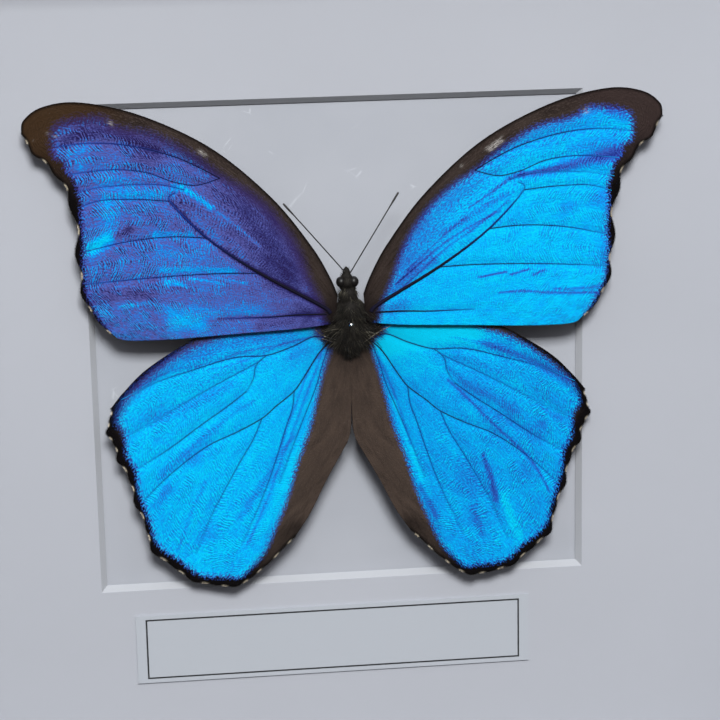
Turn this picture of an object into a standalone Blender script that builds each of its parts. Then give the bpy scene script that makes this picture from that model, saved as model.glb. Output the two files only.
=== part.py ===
"""Framed butterfly specimen: a spread blue morpho pinned in a mitred box frame.

Metres, +Z up. The frame stands on its bottom rail and its glass faces -Y. The origin is in
the middle of the ground that the frame covers.

The pieces behind the glass are drawn lying flat and then stood up together: in that
"display" space X runs right, Y runs up the picture and Z runs out towards the viewer, with
Z = 0 on the front face of the mat and X = Y = 0 in the middle of the mat's window.
"""
import math

import bmesh
import bpy
from mathutils import Matrix, Vector

MM = 0.001

# Box frame: four mitred rails of one profile
FRAME_SIDE = 250 * MM
FRAME_DEPTH = 35 * MM
FACE_WIDTH = 15 * MM
LIP_WIDTH = 5 * MM
LIP_THICK = 4 * MM
EDGE_ROUND = 1.2 * MM
MITRE_GAP = 0.1 * MM
GAP = 0.3 * MM

# Layers held in the rebate, front to back
GLASS_THICK = 2 * MM
SPACER_DEPTH = 17 * MM
SPACER_WIDTH = 4.2 * MM
MAT_THICK = 1.3 * MM
PANEL_THICK = 2 * MM
BACK_THICK = 3 * MM
WINDOW_SIDE = 112 * MM
LABEL_SIZE = (91.8 * MM, 16.4 * MM, 0.25 * MM)
LABEL_CENTRE = (-2.7 * MM, -70.3 * MM)

# Fittings on the back
TAB_SPREAD = 62 * MM
TAB_SIZE = (6.4 * MM, 14 * MM, 0.5 * MM)
TAB_BITE = 4 * MM
HANGER_SIZE = (44 * MM, 6.4 * MM, 0.8 * MM)
HANGER_TEETH = 9
NAIL_SPREAD = 18.5 * MM
NAIL_HEAD = (1.5 * MM, 0.7 * MM)
NAIL_SHANK = (0.6 * MM, 9 * MM)

# The specimen, measured from the middle of its thorax
BODY_CENTRE = (2.1 * MM, 5.3 * MM)
SPECIMEN_TURN = math.radians(-0.35)
WING_THICK = 0.3 * MM
WING_DROOP = math.radians(1.9)
FOREWING_HEIGHT = 6.3 * MM
HINDWING_HEIGHT = 5.0 * MM
PIN_RADIUS = 0.22 * MM
PIN_TOP = 12.2 * MM
PIN_PLACE = (-0.5 * MM, 1.55 * MM, 0)

# Places that follow from the sizes above
REBATE_SIDE = FRAME_SIDE - 2 * (FACE_WIDTH - LIP_WIDTH)
SHEET_SIDE = REBATE_SIDE - 2 * GAP
GLASS_BACK = GAP + SPACER_DEPTH + GAP
LIP_BACK = GLASS_BACK + GLASS_THICK + GAP
FRONT = LIP_BACK + LIP_THICK
REAR = FRONT - FRAME_DEPTH
PANEL_FRONT = -MAT_THICK - GAP
BACK_FRONT = PANEL_FRONT - PANEL_THICK - GAP
TAB_FRONT = BACK_FRONT - BACK_THICK - GAP
HANGER_PROUD = 2 * GAP + HANGER_SIZE[2] + NAIL_HEAD[1]

# The window and the label are centred together in the frame's opening
LABEL_BOTTOM = LABEL_CENTRE[1] - LABEL_SIZE[1] / 2
FRAME_MIDDLE = (WINDOW_SIDE / 2 + LABEL_BOTTOM) / 2

for old in list(bpy.data.objects):
    bpy.data.objects.remove(old)

parts = bpy.data.collections.new("framed_butterfly_specimen")
cutters = bpy.data.collections.new("cutters")
bpy.context.scene.collection.children.link(parts)
bpy.context.scene.collection.children.link(cutters)


# ---------------------------------------------------------------- helpers

def material(name, colour, roughness, metallic=0.0, transmission=0.0):
    made = bpy.data.materials.new(name)
    made.use_nodes = True
    shader = made.node_tree.nodes["Principled BSDF"]
    shader.inputs["Base Color"].default_value = (*colour, 1)
    shader.inputs["Roughness"].default_value = roughness
    shader.inputs["Metallic"].default_value = metallic
    shader.inputs["Transmission Weight"].default_value = transmission
    made.diffuse_color = (*colour, 1)
    return made


def empty(name, parent=None, location=(0, 0, 0), rotation=(0, 0, 0)):
    made = bpy.data.objects.new(name, None)
    parts.objects.link(made)
    made.parent = parent
    made.location = location
    made.rotation_euler = rotation
    return made


def add(name, data, parent, finish, location=(0, 0, 0), rotation=(0, 0, 0)):
    """Put a mesh or a curve in the parts collection as one named piece."""
    made = bpy.data.objects.new(name, data)
    parts.objects.link(made)
    made.parent = parent
    made.location = location
    made.rotation_euler = rotation
    data.materials.append(finish)
    return made


def as_cutter(piece):
    parts.objects.unlink(piece)
    cutters.objects.link(piece)
    piece.display_type = "WIRE"
    piece.hide_render = True
    return piece


def combine(piece, other, operation):
    step = piece.modifiers.new(operation.lower() + "_" + other.name, "BOOLEAN")
    step.operation = operation
    step.solver = "EXACT"
    step.object = as_cutter(other)


def box_mesh(name, size):
    mesh = bpy.data.meshes.new(name)
    work = bmesh.new()
    bmesh.ops.create_cube(work, size=1)
    bmesh.ops.scale(work, vec=Vector(size), verts=work.verts)
    work.to_mesh(mesh)
    work.free()
    return mesh


def ball_mesh(name, radii, segments, rings):
    """An egg shape whose poles lie along Y, the line of the insect's body."""
    mesh = bpy.data.meshes.new(name)
    work = bmesh.new()
    bmesh.ops.create_uvsphere(work, u_segments=segments, v_segments=rings, radius=1)
    bmesh.ops.rotate(work, matrix=Matrix.Rotation(math.pi / 2, 3, "X"), verts=work.verts)
    bmesh.ops.scale(work, vec=Vector(radii), verts=work.verts)
    work.to_mesh(mesh)
    work.free()
    mesh.shade_smooth()
    return mesh


def sheet_curve(name, outline, thickness, holes=()):
    """A flat piece: one outline, and any holes in it, filled and given a thickness."""
    curve = bpy.data.curves.new(name, "CURVE")
    curve.dimensions = "2D"
    curve.fill_mode = "BOTH"
    curve.extrude = thickness / 2
    for loop in (outline, *holes):
        spline = curve.splines.new("POLY")
        spline.points.add(len(loop) - 1)
        for point, (x, y) in zip(spline.points, loop):
            point.co = (x, y, 0, 1)
        spline.use_cyclic_u = True
    return curve


def turned(name, profile, steps, parent, finish, location):
    """A round piece: a profile from its top centre down its outer side, turned about Z."""
    mesh = bpy.data.meshes.new(name)
    edges = [(i, i + 1) for i in range(len(profile) - 1)]
    mesh.from_pydata([(radius, 0, height) for radius, height in profile], edges, [])
    made = add(name, mesh, parent, finish, location)
    turn = made.modifiers.new("turn", "SCREW")
    turn.steps = steps
    turn.render_steps = steps
    turn.use_merge_vertices = True
    turn.merge_threshold = 0.00001
    return made


def circle(centre, radius, count):
    turns = [2 * math.pi * i / count for i in range(count)]
    return [(centre[0] + radius * math.cos(a), centre[1] + radius * math.sin(a)) for a in turns]


def smooth(points, per_span=4):
    """A Catmull-Rom curve through the points, without its last point."""
    ends = [points[0], *points, points[-1]]
    drawn = []
    for p0, p1, p2, p3 in zip(ends, ends[1:], ends[2:], ends[3:]):
        for step in range(per_span):
            t = step / per_span
            weights = (-t + 2 * t**2 - t**3, 2 - 5 * t**2 + 3 * t**3,
                       t + 4 * t**2 - 3 * t**3, -t**2 + t**3)
            drawn.append(tuple(sum(w * p[k] for w, p in zip(weights, (p0, p1, p2, p3))) / 2
                               for k in (0, 1)))
    return drawn


def scalloped(teeth, per_span=5):
    """A wing's outer margin: teeth at (x, y), each followed by a scallop of depth bite."""
    drawn = []
    for (x0, y0, bite), (x1, y1, _) in zip(teeth, teeth[1:]):
        length = math.hypot(x1 - x0, y1 - y0)
        inward = ((y1 - y0) / length, (x0 - x1) / length)
        for step in range(per_span):
            t = step / per_span
            depth = bite * math.sin(math.pi * t)
            drawn.append((x0 + (x1 - x0) * t + inward[0] * depth,
                          y0 + (y1 - y0) * t + inward[1] * depth))
    return drawn


# ---------------------------------------------------------------- finishes

black_wood = material("black_wood", (0.018, 0.017, 0.016), 0.42)
clear_glass = material("clear_glass", (0.95, 0.98, 0.97), 0.03, transmission=1.0)
white_board = material("white_board", (0.62, 0.64, 0.68), 0.85)
white_paper = material("white_paper", (0.60, 0.62, 0.66), 0.80)
hardboard = material("hardboard", (0.23, 0.13, 0.07), 0.80)
zinc_steel = material("zinc_steel", (0.60, 0.60, 0.58), 0.35, metallic=1.0)
pin_steel = material("pin_steel", (0.75, 0.74, 0.70), 0.22, metallic=1.0)
dark_fur = material("dark_fur", (0.022, 0.018, 0.015), 0.90)
horn_black = material("horn_black", (0.012, 0.010, 0.010), 0.45)
morpho_blue = material("morpho_blue", (0.02, 0.30, 0.80), 0.35)

# ---------------------------------------------------------------- stand the display up

window_height = FRAME_SIDE / 2 - FRAME_MIDDLE
mat_face = -(FRAME_DEPTH + HANGER_PROUD) / 2 + FRONT
display = empty("display", location=(0, mat_face, window_height), rotation=(math.pi / 2, 0, 0))
frame_centre = empty("frame_centre", display, (0, FRAME_MIDDLE, 0))

# ---------------------------------------------------------------- rails


def rail_profile():
    """The rail's section as (inward from the outer edge, depth from the front)."""
    inner = FACE_WIDTH - LIP_WIDTH
    quarter = [math.pi / 2 * i / 4 for i in range(5)]
    outer_corner = [(EDGE_ROUND * (1 - math.sin(a)), EDGE_ROUND * (1 - math.cos(a)))
                    for a in reversed(quarter)]
    lip_corner = [(FACE_WIDTH - EDGE_ROUND * (1 - math.sin(a)), EDGE_ROUND * (1 - math.cos(a)))
                  for a in quarter]
    return outer_corner + lip_corner + [(FACE_WIDTH, LIP_THICK), (inner, LIP_THICK),
                                        (inner, FRAME_DEPTH), (0, FRAME_DEPTH)]


def rail_mesh(name):
    """The bottom rail: its section drawn at both ends and sheared to the mitre."""
    mesh = bpy.data.meshes.new(name)
    work = bmesh.new()
    half = FRAME_SIDE / 2
    profile = rail_profile()
    left = [work.verts.new((-half + inward + MITRE_GAP, -half + inward, FRONT - depth))
            for inward, depth in profile]
    face = work.faces.new(left)
    grown = bmesh.ops.extrude_face_region(work, geom=[face])["geom"]
    for vert in (item for item in grown if isinstance(item, bmesh.types.BMVert)):
        vert.co.x = -vert.co.x
    bmesh.ops.recalc_face_normals(work, faces=work.faces)
    work.to_mesh(mesh)
    work.free()
    return mesh


def tab_slot(name, side, along):
    """The cut that a framer's tab is driven into, in the rebate's wall."""
    size = (TAB_SIZE[0] + 2 * GAP, 2 * (TAB_BITE + GAP), TAB_SIZE[2] + 2 * GAP)
    middle = (along, -REBATE_SIDE / 2, TAB_FRONT - TAB_SIZE[2] / 2)
    return add(name, box_mesh(name, size), side, zinc_steel, middle)


SIDES = ("bottom", "right", "top", "left")
for quarter_turns, side_name in enumerate(SIDES):
    side = empty("side_" + side_name, frame_centre, rotation=(0, 0, quarter_turns * math.pi / 2))
    rail = add("rail_" + side_name, rail_mesh("rail_" + side_name), side, black_wood)

    # White spacer strip that keeps the glass off the wings
    strip_length = REBATE_SIDE - 2 * GAP if side_name in ("top", "bottom") \
        else REBATE_SIDE - 4 * GAP - 2 * SPACER_WIDTH
    strip = box_mesh("spacer_" + side_name, (strip_length, SPACER_WIDTH, SPACER_DEPTH))
    strip_middle = (0, -REBATE_SIDE / 2 + GAP + SPACER_WIDTH / 2, GAP + SPACER_DEPTH / 2)
    add("spacer_" + side_name, strip, side, white_board, strip_middle)

    # Two steel tabs on each side hold the back in
    for number, along in enumerate((-TAB_SPREAD, TAB_SPREAD), 1):
        slot = tab_slot("slot_%s_%d" % (side_name, number), side, along)
        combine(rail, slot, "DIFFERENCE")
        width, length, thick = TAB_SIZE
        arc = [math.pi * i / 8 for i in range(9)]
        tab_outline = [(-width / 2, 0), (width / 2, 0)]
        tab_outline += [(width / 2 * math.cos(a), length - width / 2 + width / 2 * math.sin(a))
                        for a in arc]
        tab = sheet_curve("tab_%s_%d" % (side_name, number), tab_outline, thick)
        add(tab.name, tab, side, zinc_steel,
            (along, -REBATE_SIDE / 2 - TAB_BITE, TAB_FRONT - thick / 2))

# ---------------------------------------------------------------- sheets in the rebate


def full_sheet(name, thickness, front, finish):
    mesh = box_mesh(name, (SHEET_SIDE, SHEET_SIDE, thickness))
    return add(name, mesh, frame_centre, finish, (0, 0, front - thickness / 2))


full_sheet("glass_pane", GLASS_THICK, GLASS_BACK + GLASS_THICK, clear_glass)
full_sheet("specimen_panel", PANEL_THICK, PANEL_FRONT, white_board)
full_sheet("back_board", BACK_THICK, BACK_FRONT, hardboard)
mat = full_sheet("mat_board", MAT_THICK, 0, white_board)

# The window is cut at 45 degrees, so its white core shows as a narrow bevel
window_mesh = bpy.data.meshes.new("window")
window_work = bmesh.new()
overrun = 1 * MM
front_reach = WINDOW_SIDE / 2 + overrun
back_reach = WINDOW_SIDE / 2 - MAT_THICK - overrun
bmesh.ops.create_cone(window_work, cap_ends=True, segments=4, radius1=back_reach * math.sqrt(2),
                      radius2=front_reach * math.sqrt(2), depth=MAT_THICK + 2 * overrun)
window_work.to_mesh(window_mesh)
window_work.free()
window = add("window", window_mesh, display, white_board, (0, 0, -MAT_THICK / 2),
             (0, 0, math.pi / 4))
combine(mat, window, "DIFFERENCE")

# Paper label, glued to the mat under the window
label = box_mesh("label_card", LABEL_SIZE)
add("label_card", label, display, white_paper, (*LABEL_CENTRE, GAP / 2 + LABEL_SIZE[2] / 2))

# ---------------------------------------------------------------- hanger on the top rail

RAIL_BACK_WIDTH = FACE_WIDTH - LIP_WIDTH
HANGER_HEIGHT = FRAME_SIDE / 2 - RAIL_BACK_WIDTH / 2
TOOTH_DEPTH = 1.2 * MM


def hanger_outline():
    """A strip with a row of saw teeth along the middle of its lower edge."""
    length, height, _ = HANGER_SIZE
    pitch = 0.56 * length / HANGER_TEETH
    start = -pitch * HANGER_TEETH / 2
    low = -height / 2
    teeth = []
    for i in range(HANGER_TEETH):
        teeth += [(start + i * pitch, low), (start + (i + 0.5) * pitch, low + TOOTH_DEPTH)]
    teeth.append((-start, low))
    return [(-length / 2, low)] + teeth + [(length / 2, low), (length / 2, height / 2),
                                           (-length / 2, height / 2)]


nail_holes = [circle((x, 0), NAIL_SHANK[0] + GAP, 16) for x in (-NAIL_SPREAD, NAIL_SPREAD)]
hanger = sheet_curve("sawtooth_hanger", hanger_outline(), HANGER_SIZE[2], nail_holes)
hanger_middle = REAR - GAP - HANGER_SIZE[2] / 2
add("sawtooth_hanger", hanger, frame_centre, zinc_steel, (0, HANGER_HEIGHT, hanger_middle))

top_rail = bpy.data.objects["rail_top"]
head_radius, head_thick = NAIL_HEAD
shank_radius, shank_length = NAIL_SHANK
nail_profile = [(0, shank_length), (shank_radius, shank_length - shank_radius), (shank_radius, 0),
                (head_radius, 0), (head_radius, -head_thick * 0.6), (head_radius * 0.7, -head_thick),
                (0, -head_thick)]
nail_seat = REAR - 2 * GAP - HANGER_SIZE[2]
for number, x in enumerate((-NAIL_SPREAD, NAIL_SPREAD), 1):
    turned("hanger_nail_%d" % number, nail_profile, 16, frame_centre, zinc_steel,
           (x, HANGER_HEIGHT, nail_seat))
    bore_mesh = bpy.data.meshes.new("nail_bore_%d" % number)
    bore_work = bmesh.new()
    bmesh.ops.create_cone(bore_work, cap_ends=True, segments=16, radius1=shank_radius + GAP,
                          radius2=shank_radius + GAP, depth=2 * shank_length)
    bore_work.to_mesh(bore_mesh)
    bore_work.free()
    combine(top_rail, add(bore_mesh.name, bore_mesh, frame_centre, zinc_steel,
                          (x, HANGER_HEIGHT, REAR)), "DIFFERENCE")

# ---------------------------------------------------------------- the butterfly

specimen = empty("specimen", display, (*BODY_CENTRE, 0), (0, 0, SPECIMEN_TURN))


def mm_points(points):
    return [tuple(value * MM for value in point) for point in points]


# Thorax, neck, head, eyes and palps are one dried body: centre and radii in millimetres
THORAX = ((0, -0.4, 3.5), (3.4, 7.0, 4.8))
BODY_LUMPS = {
    "neck": ((-0.3, 6.6, 4.6), (2.3, 2.6, 2.5)),
    "head": ((-0.55, 9.9, 5.0), (1.7, 1.7, 1.8)),
    "eye_left": ((-2.1, 10.1, 5.1), (0.9, 1.1, 1.15)),
    "eye_right": ((1.05, 10.1, 5.1), (0.9, 1.1, 1.15)),
    "palp_left": ((-1.0, 12.0, 4.8), (0.42, 1.6, 0.5)),
    "palp_right": ((-0.4, 12.0, 4.8), (0.42, 1.6, 0.5)),
}


def body_lump(name, centre, radii, segments, rings):
    mesh = ball_mesh(name, [r * MM for r in radii], segments, rings)
    return add(name, mesh, specimen, dark_fur, [c * MM for c in centre])


body = body_lump("butterfly_body", *THORAX, 28, 18)
for lump_name, (centre, radii) in BODY_LUMPS.items():
    combine(body, body_lump(lump_name, centre, radii, 16, 10), "UNION")

# The setting pin goes down through the thorax to the panel
pin_point = PANEL_FRONT + GAP
pin_hole_mesh = bpy.data.meshes.new("pin_hole")
pin_hole_work = bmesh.new()
bmesh.ops.create_cone(pin_hole_work, cap_ends=True, segments=10, radius1=PIN_RADIUS + GAP,
                      radius2=PIN_RADIUS + GAP, depth=30 * MM)
pin_hole_work.to_mesh(pin_hole_mesh)
pin_hole_work.free()
combine(body, add("pin_hole", pin_hole_mesh, specimen, pin_steel, PIN_PLACE), "DIFFERENCE")
head = 2 * PIN_RADIUS
pin_profile = [(0, PIN_TOP), (head * 0.7, PIN_TOP - head * 0.3), (head, PIN_TOP - head),
               (head * 0.7, PIN_TOP - head * 1.7), (PIN_RADIUS, PIN_TOP - head * 2),
               (PIN_RADIUS, pin_point + head * 2), (0, pin_point)]
turned("setting_pin", pin_profile, 12, specimen, pin_steel, PIN_PLACE)

# Wings, drawn for the right-hand side; the left-hand ones are the same drawn in mirror image.
# Each outline runs from the base along the leading edge, down the scalloped outer margin
# and back along the inner margin.
FOREWING_COSTA = mm_points([(2.9, 7.4), (4.6, 11.6), (8.5, 18.5), (17.0, 29.5), (30.0, 40.8),
                            (45.0, 48.3), (58.0, 51.4), (66.0, 50.6), (70.2, 47.8), (70.8, 45.0)])
FOREWING_TEETH = mm_points([(70.8, 45.0, 0.3), (68.6, 40.5, 0.6), (64.2, 35.9, 0.9),
                            (61.2, 28.8, 1.2), (60.3, 18.0, 0.9), (59.4, 9.0, 0.4),
                            (56.0, 2.9, 0.0), (51.8, -1.0, 0.0)])
FOREWING_INNER = mm_points([(51.8, -1.0), (49.0, -1.6), (40.0, -1.6), (26.0, -0.9),
                            (12.0, -0.1), (3.4, 0.9)])
HINDWING_COSTA = mm_points([(4.1, -2.8), (12.0, 1.2), (24.0, 2.2), (34.0, -1.4), (45.2, -8.2),
                            (52.6, -15.5), (55.2, -21.4)])
HINDWING_TEETH = mm_points([(55.2, -21.4, 0.6), (53.1, -29.4, 1.2), (49.6, -39.7, 1.2),
                            (46.0, -51.3, 1.0), (37.0, -58.7, 0.6), (27.0, -60.2, 0.2),
                            (19.6, -55.0, 0.2), (13.2, -48.6, 0.0)])
HINDWING_INNER = mm_points([(13.2, -48.6), (9.8, -43.4), (6.0, -35.8), (2.7, -29.8),
                            (0.8, -25.6), (0.35, -20.0), (0.35, -7.9), (2.8, -6.6)])

forewing_outline = smooth(FOREWING_COSTA) + scalloped(FOREWING_TEETH) + smooth(FOREWING_INNER)
hindwing_outline = smooth(HINDWING_COSTA) + scalloped(HINDWING_TEETH) + smooth(HINDWING_INNER)


def wing(name, outline, hand, height):
    drawn = [(hand * x, y) for x, y in outline]
    blade = sheet_curve(name, drawn, WING_THICK)
    add(name, blade, specimen, morpho_blue, (0, 0, height), (0, hand * WING_DROOP, 0))


def antenna(name, points, hand):
    """A hair-thin feeler that thickens into a club over its last fifth."""
    curve = bpy.data.curves.new(name, "CURVE")
    curve.dimensions = "3D"
    curve.bevel_depth = 0.16 * MM
    curve.bevel_resolution = 2
    curve.use_fill_caps = True
    start, bend, end = (Vector(point) * MM for point in points)
    count = 12
    spline = curve.splines.new("POLY")
    spline.points.add(count - 1)
    for i, point in enumerate(spline.points):
        t = i / (count - 1)
        place = start * (1 - t)**2 + bend * 2 * t * (1 - t) + end * t**2
        point.co = (hand * place.x, place.y, place.z, 1)
        point.radius = 1 + 0.7 * max(0, (t - 0.8) / 0.2)
    add(name, curve, specimen, horn_black)


for hand, hand_name in ((1, "right"), (-1, "left")):
    wing("forewing_" + hand_name, forewing_outline, hand, FOREWING_HEIGHT)
    wing("hindwing_" + hand_name, hindwing_outline, hand, HINDWING_HEIGHT)
antenna("antenna_right", [(0.0, 12.3, 6.7), (5.3, 21.4, 8.2), (10.9, 30.0, 7.0)], 1)
antenna("antenna_left", [(1.3, 12.6, 6.7), (8.4, 21.2, 8.2), (14.6, 28.3, 7.0)], -1)
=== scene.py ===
import math

import bmesh
import bpy
import numpy as np
from mathutils import Matrix, Vector


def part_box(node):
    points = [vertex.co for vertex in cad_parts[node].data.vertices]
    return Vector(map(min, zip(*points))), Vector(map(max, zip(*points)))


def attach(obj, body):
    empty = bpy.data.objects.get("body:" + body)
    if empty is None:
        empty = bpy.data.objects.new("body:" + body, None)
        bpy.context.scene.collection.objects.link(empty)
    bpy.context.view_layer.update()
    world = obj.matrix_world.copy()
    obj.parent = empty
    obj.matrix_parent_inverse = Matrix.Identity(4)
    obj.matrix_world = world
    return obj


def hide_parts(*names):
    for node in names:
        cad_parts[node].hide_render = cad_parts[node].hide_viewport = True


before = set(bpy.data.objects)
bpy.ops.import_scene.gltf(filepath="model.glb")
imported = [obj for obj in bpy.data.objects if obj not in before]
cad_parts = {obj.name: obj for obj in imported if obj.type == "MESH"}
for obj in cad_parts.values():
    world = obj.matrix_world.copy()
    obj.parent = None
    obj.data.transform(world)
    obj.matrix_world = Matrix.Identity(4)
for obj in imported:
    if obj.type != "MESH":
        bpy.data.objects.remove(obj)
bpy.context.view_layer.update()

# ---- Where the display stands ---------------------------------------------------------
# Everything behind the glass is drawn lying flat and then stood up: X runs right, Y up the
# panel and Z out towards the viewer, with Z = 0 on the mat. One frame is centred on the
# mat's window and the other on the butterfly's thorax, which its setting pin marks.
MM = 0.001
PIN_FROM_THORAX = Vector((-0.5, 1.55)) * MM
THORAX_ABOVE_WINDOW = 5.3 * MM
SPECIMEN_TURN = math.radians(-0.35)

pin_low, pin_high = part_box("setting_pin")
mat_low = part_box("mat_board")[0]
pin_middle = (pin_low + pin_high) / 2
upright = Matrix.Rotation(math.pi / 2, 4, "X")
thorax_centre = Vector((pin_middle.x - PIN_FROM_THORAX.x, mat_low.y,
                        pin_middle.z - PIN_FROM_THORAX.y))
window_centre = Vector((0, mat_low.y, thorax_centre.z - THORAX_ABOVE_WINDOW))
display = Matrix.Translation(window_centre) @ upright
specimen = Matrix.Translation(thorax_centre) @ upright @ Matrix.Rotation(SPECIMEN_TURN, 4, "Z")


# ---- Camera, floor and lights -------------------------------------------------------
# A plain pale floor, soft light from a window high in front, and a weaker light behind. The
# camera looks down at the case a little, from the left, from half a metre away.
CAMERA_LENS = 111.75
CAMERA_BACK = (-4.8 * MM, 3.8 * MM, -506.3 * MM)
CAMERA_TURN = Vector([math.radians(angle) for angle in (13.27, 6.44, 1.93)])
ROOM_BELOW, ROOM_ABOVE = (0.036, 0.033, 0.033), (0.68, 0.70, 0.738)
FLOOR_REACH = 3.0
FLOOR_DROP = 0.05 * MM


class Finish:
    """A material whose nodes are laid down one by one, each fed by values or other nodes."""

    def __init__(self, name):
        self.material = bpy.data.materials.new(name)
        self.material.use_nodes = True
        self.tree = self.material.node_tree
        self.shader = self.tree.nodes["Principled BSDF"]

    def feed(self, socket, value):
        if isinstance(value, bpy.types.NodeSocket):
            self.tree.links.new(value, socket)
        elif socket.type == "RGBA":
            socket.default_value = (*value, 1)
        else:
            socket.default_value = value

    def add(self, kind, feeds=None, out=0, **settings):
        node = self.tree.nodes.new(kind)
        for key, value in settings.items():
            setattr(node, key, value)
        for key, value in (feeds or {}).items():
            self.feed(node.inputs[key], value)
        return node.outputs[out]

    def vector(self, operation, first, second):
        return self.add("ShaderNodeVectorMath", {0: first, 1: second}, operation=operation)

    def place(self, scale=(1, 1, 1), centre=(0, 0, 0)):
        """Object coordinates in millimetres about a centre given in metres."""
        shift = self.vector("SUBTRACT", self.add("ShaderNodeTexCoord", out="Object"), centre)
        return self.vector("MULTIPLY", shift, [s / MM for s in scale])

    def grain(self, vector, scale, detail=2.0, roughness=0.5, distortion=0.0):
        return self.add("ShaderNodeTexNoise", {"Vector": vector, "Scale": scale,
                        "Detail": detail, "Roughness": roughness, "Distortion": distortion})

    def level(self, value, low, high, bottom=0.0, top=1.0):
        return self.add("ShaderNodeMapRange", {0: value, 1: low, 2: high, 3: bottom, 4: top})

    def calc(self, operation, first, second=0.0):
        return self.add("ShaderNodeMath", {0: first, 1: second}, operation=operation)

    def blend(self, factor, first, second, how="MIX"):
        return self.add("ShaderNodeMix", {0: factor, 6: first, 7: second}, out=2,
                        data_type="RGBA", blend_type=how)

    def ramp(self, value, stops):
        colours = self.tree.nodes.new("ShaderNodeValToRGB")
        self.feed(colours.inputs[0], value)
        band = colours.color_ramp
        while len(band.elements) < len(stops):
            band.elements.new(1.0)
        for stop, (position, colour) in zip(band.elements, stops):
            stop.position = position
            stop.color = (*colour, 1)
        return colours.outputs[0]

    def attribute(self, name):
        return self.add("ShaderNodeAttribute", out="Fac", attribute_name=name)

    def bump(self, height, depth, strength):
        """Relief of a depth given in millimetres."""
        return self.add("ShaderNodeBump", {"Height": height, "Distance": depth * MM,
                                           "Strength": strength})

    def surface(self, feeds):
        for key, value in feeds.items():
            self.feed(self.shader.inputs[key], value)
        return self.material


def put(name, data):
    """Stand a new object in the scene."""
    made = bpy.data.objects.new(name, data)
    bpy.context.scene.collection.objects.link(made)
    return made


def studio_light(name, place, aim, size, watts, colour):
    lamp = bpy.data.lights.new(name, "AREA")
    lamp.shape = "RECTANGLE"
    lamp.size, lamp.size_y = size
    lamp.energy = watts
    lamp.color = colour
    made = put(name, lamp)
    made.location = place
    made.rotation_euler = (Vector(aim) - Vector(place)).to_track_quat("-Z", "Y").to_euler()


studio_light("window_light", place=(0.0, -1.12, 1.05), aim=window_centre, size=(0.50, 0.36),
             watts=26.3, colour=(1.0, 0.985, 0.965))
studio_light("back_light", place=(0.3, 1.3, 1.2), aim=(0, 0, 0.12), size=(1.0, 1.0),
             watts=14.0, colour=(1.0, 0.99, 0.97))

# The room is bright above and dark below
room = bpy.data.worlds.new("pale_room")
room.use_nodes = True
sky = room.node_tree.nodes
upward = sky.new("ShaderNodeSeparateXYZ")
room.node_tree.links.new(sky.new("ShaderNodeTexCoord").outputs["Generated"], upward.inputs[0])
shades = sky.new("ShaderNodeValToRGB")
room.node_tree.links.new(upward.outputs["Z"], shades.inputs[0])
below, above = shades.color_ramp.elements
below.color, above.color = (*ROOM_BELOW, 1), (*ROOM_ABOVE, 1)
above.position = 0.7
room.node_tree.links.new(shades.outputs[0], sky["Background"].inputs["Color"])
bpy.context.scene.world = room
bpy.context.scene.view_settings.view_transform = "Standard"

pale_floor = Finish("pale floor")
floor_spots = pale_floor.grain(pale_floor.place(), 0.05, 4)
pale_floor.surface({
    "Base Color": pale_floor.blend(floor_spots, (0.60, 0.60, 0.60), (0.66, 0.66, 0.65)),
    "Roughness": 0.9})
floor_mesh = bpy.data.meshes.new("floor")
floor_mesh.from_pydata([(x * FLOOR_REACH, y * FLOOR_REACH, -FLOOR_DROP)
                        for x, y in ((-1, -1), (1, -1), (1, 1), (-1, 1))], [], [(0, 1, 2, 3)])
floor_mesh.materials.append(pale_floor.material)
floor = put("floor", floor_mesh)
# No pale light comes up from below
floor.visible_diffuse = False
floor.visible_glossy = False

camera_lens = bpy.data.cameras.new("camera")
camera_lens.lens = CAMERA_LENS
camera_lens.sensor_width = 36.0
camera_lens.clip_start = 0.01
camera = put("camera", camera_lens)
turn = Matrix.Rotation(CAMERA_TURN.length, 4, CAMERA_TURN.normalized())
camera.matrix_world = display @ (Matrix.Translation(CAMERA_BACK) @ turn).inverted()
bpy.context.scene.camera = camera


# ---- Frame rails -----------------------------------------------------------------------
# Four lengths of one pine moulding, mitred and glued, with a rebate for the glass and the
# boards. They are sprayed satin black, and the open grain still shows through the paint.

def dress(node, finish):
    """Give a CAD piece its finish."""
    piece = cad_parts[node]
    piece.data.materials.clear()
    piece.data.materials.append(finish)


def black_wood(name, stretch):
    paint = Finish(name)
    grown = paint.place(stretch)
    streaks = paint.grain(grown, 2.2, 6, 0.62, 0.6)
    pores = paint.level(paint.grain(grown, 9.0, 3, 0.7), 0.56, 0.66)
    dulled = paint.grain(paint.place(), 0.06, 5, 0.6)
    height = paint.calc("SUBTRACT", streaks, paint.calc("MULTIPLY", pores, 0.5))
    return paint.surface({
        "Base Color": paint.ramp(streaks, [(0.3, (0.009, 0.009, 0.009)),
                                           (0.7, (0.019, 0.018, 0.017))]),
        "Roughness": paint.level(dulled, 0.3, 0.7, 0.34, 0.50),
        "Coat Weight": 0.15,
        "Coat Roughness": 0.25,
        "Normal": paint.bump(height, 0.08, 0.6)})


lying_grain = black_wood("black paint on lying grain", (0.05, 1, 1))
standing_grain = black_wood("black paint on standing grain", (1, 1, 0.05))
for side, finish in (("top", lying_grain), ("bottom", lying_grain),
                     ("left", standing_grain), ("right", standing_grain)):
    dress("rail_" + side, finish)


# ---- Glass pane ------------------------------------------------------------------------
# A sheet of clear float glass, held against the frame's lip by the spacers behind it.
# Daylight passes straight through it to the specimen.

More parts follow.
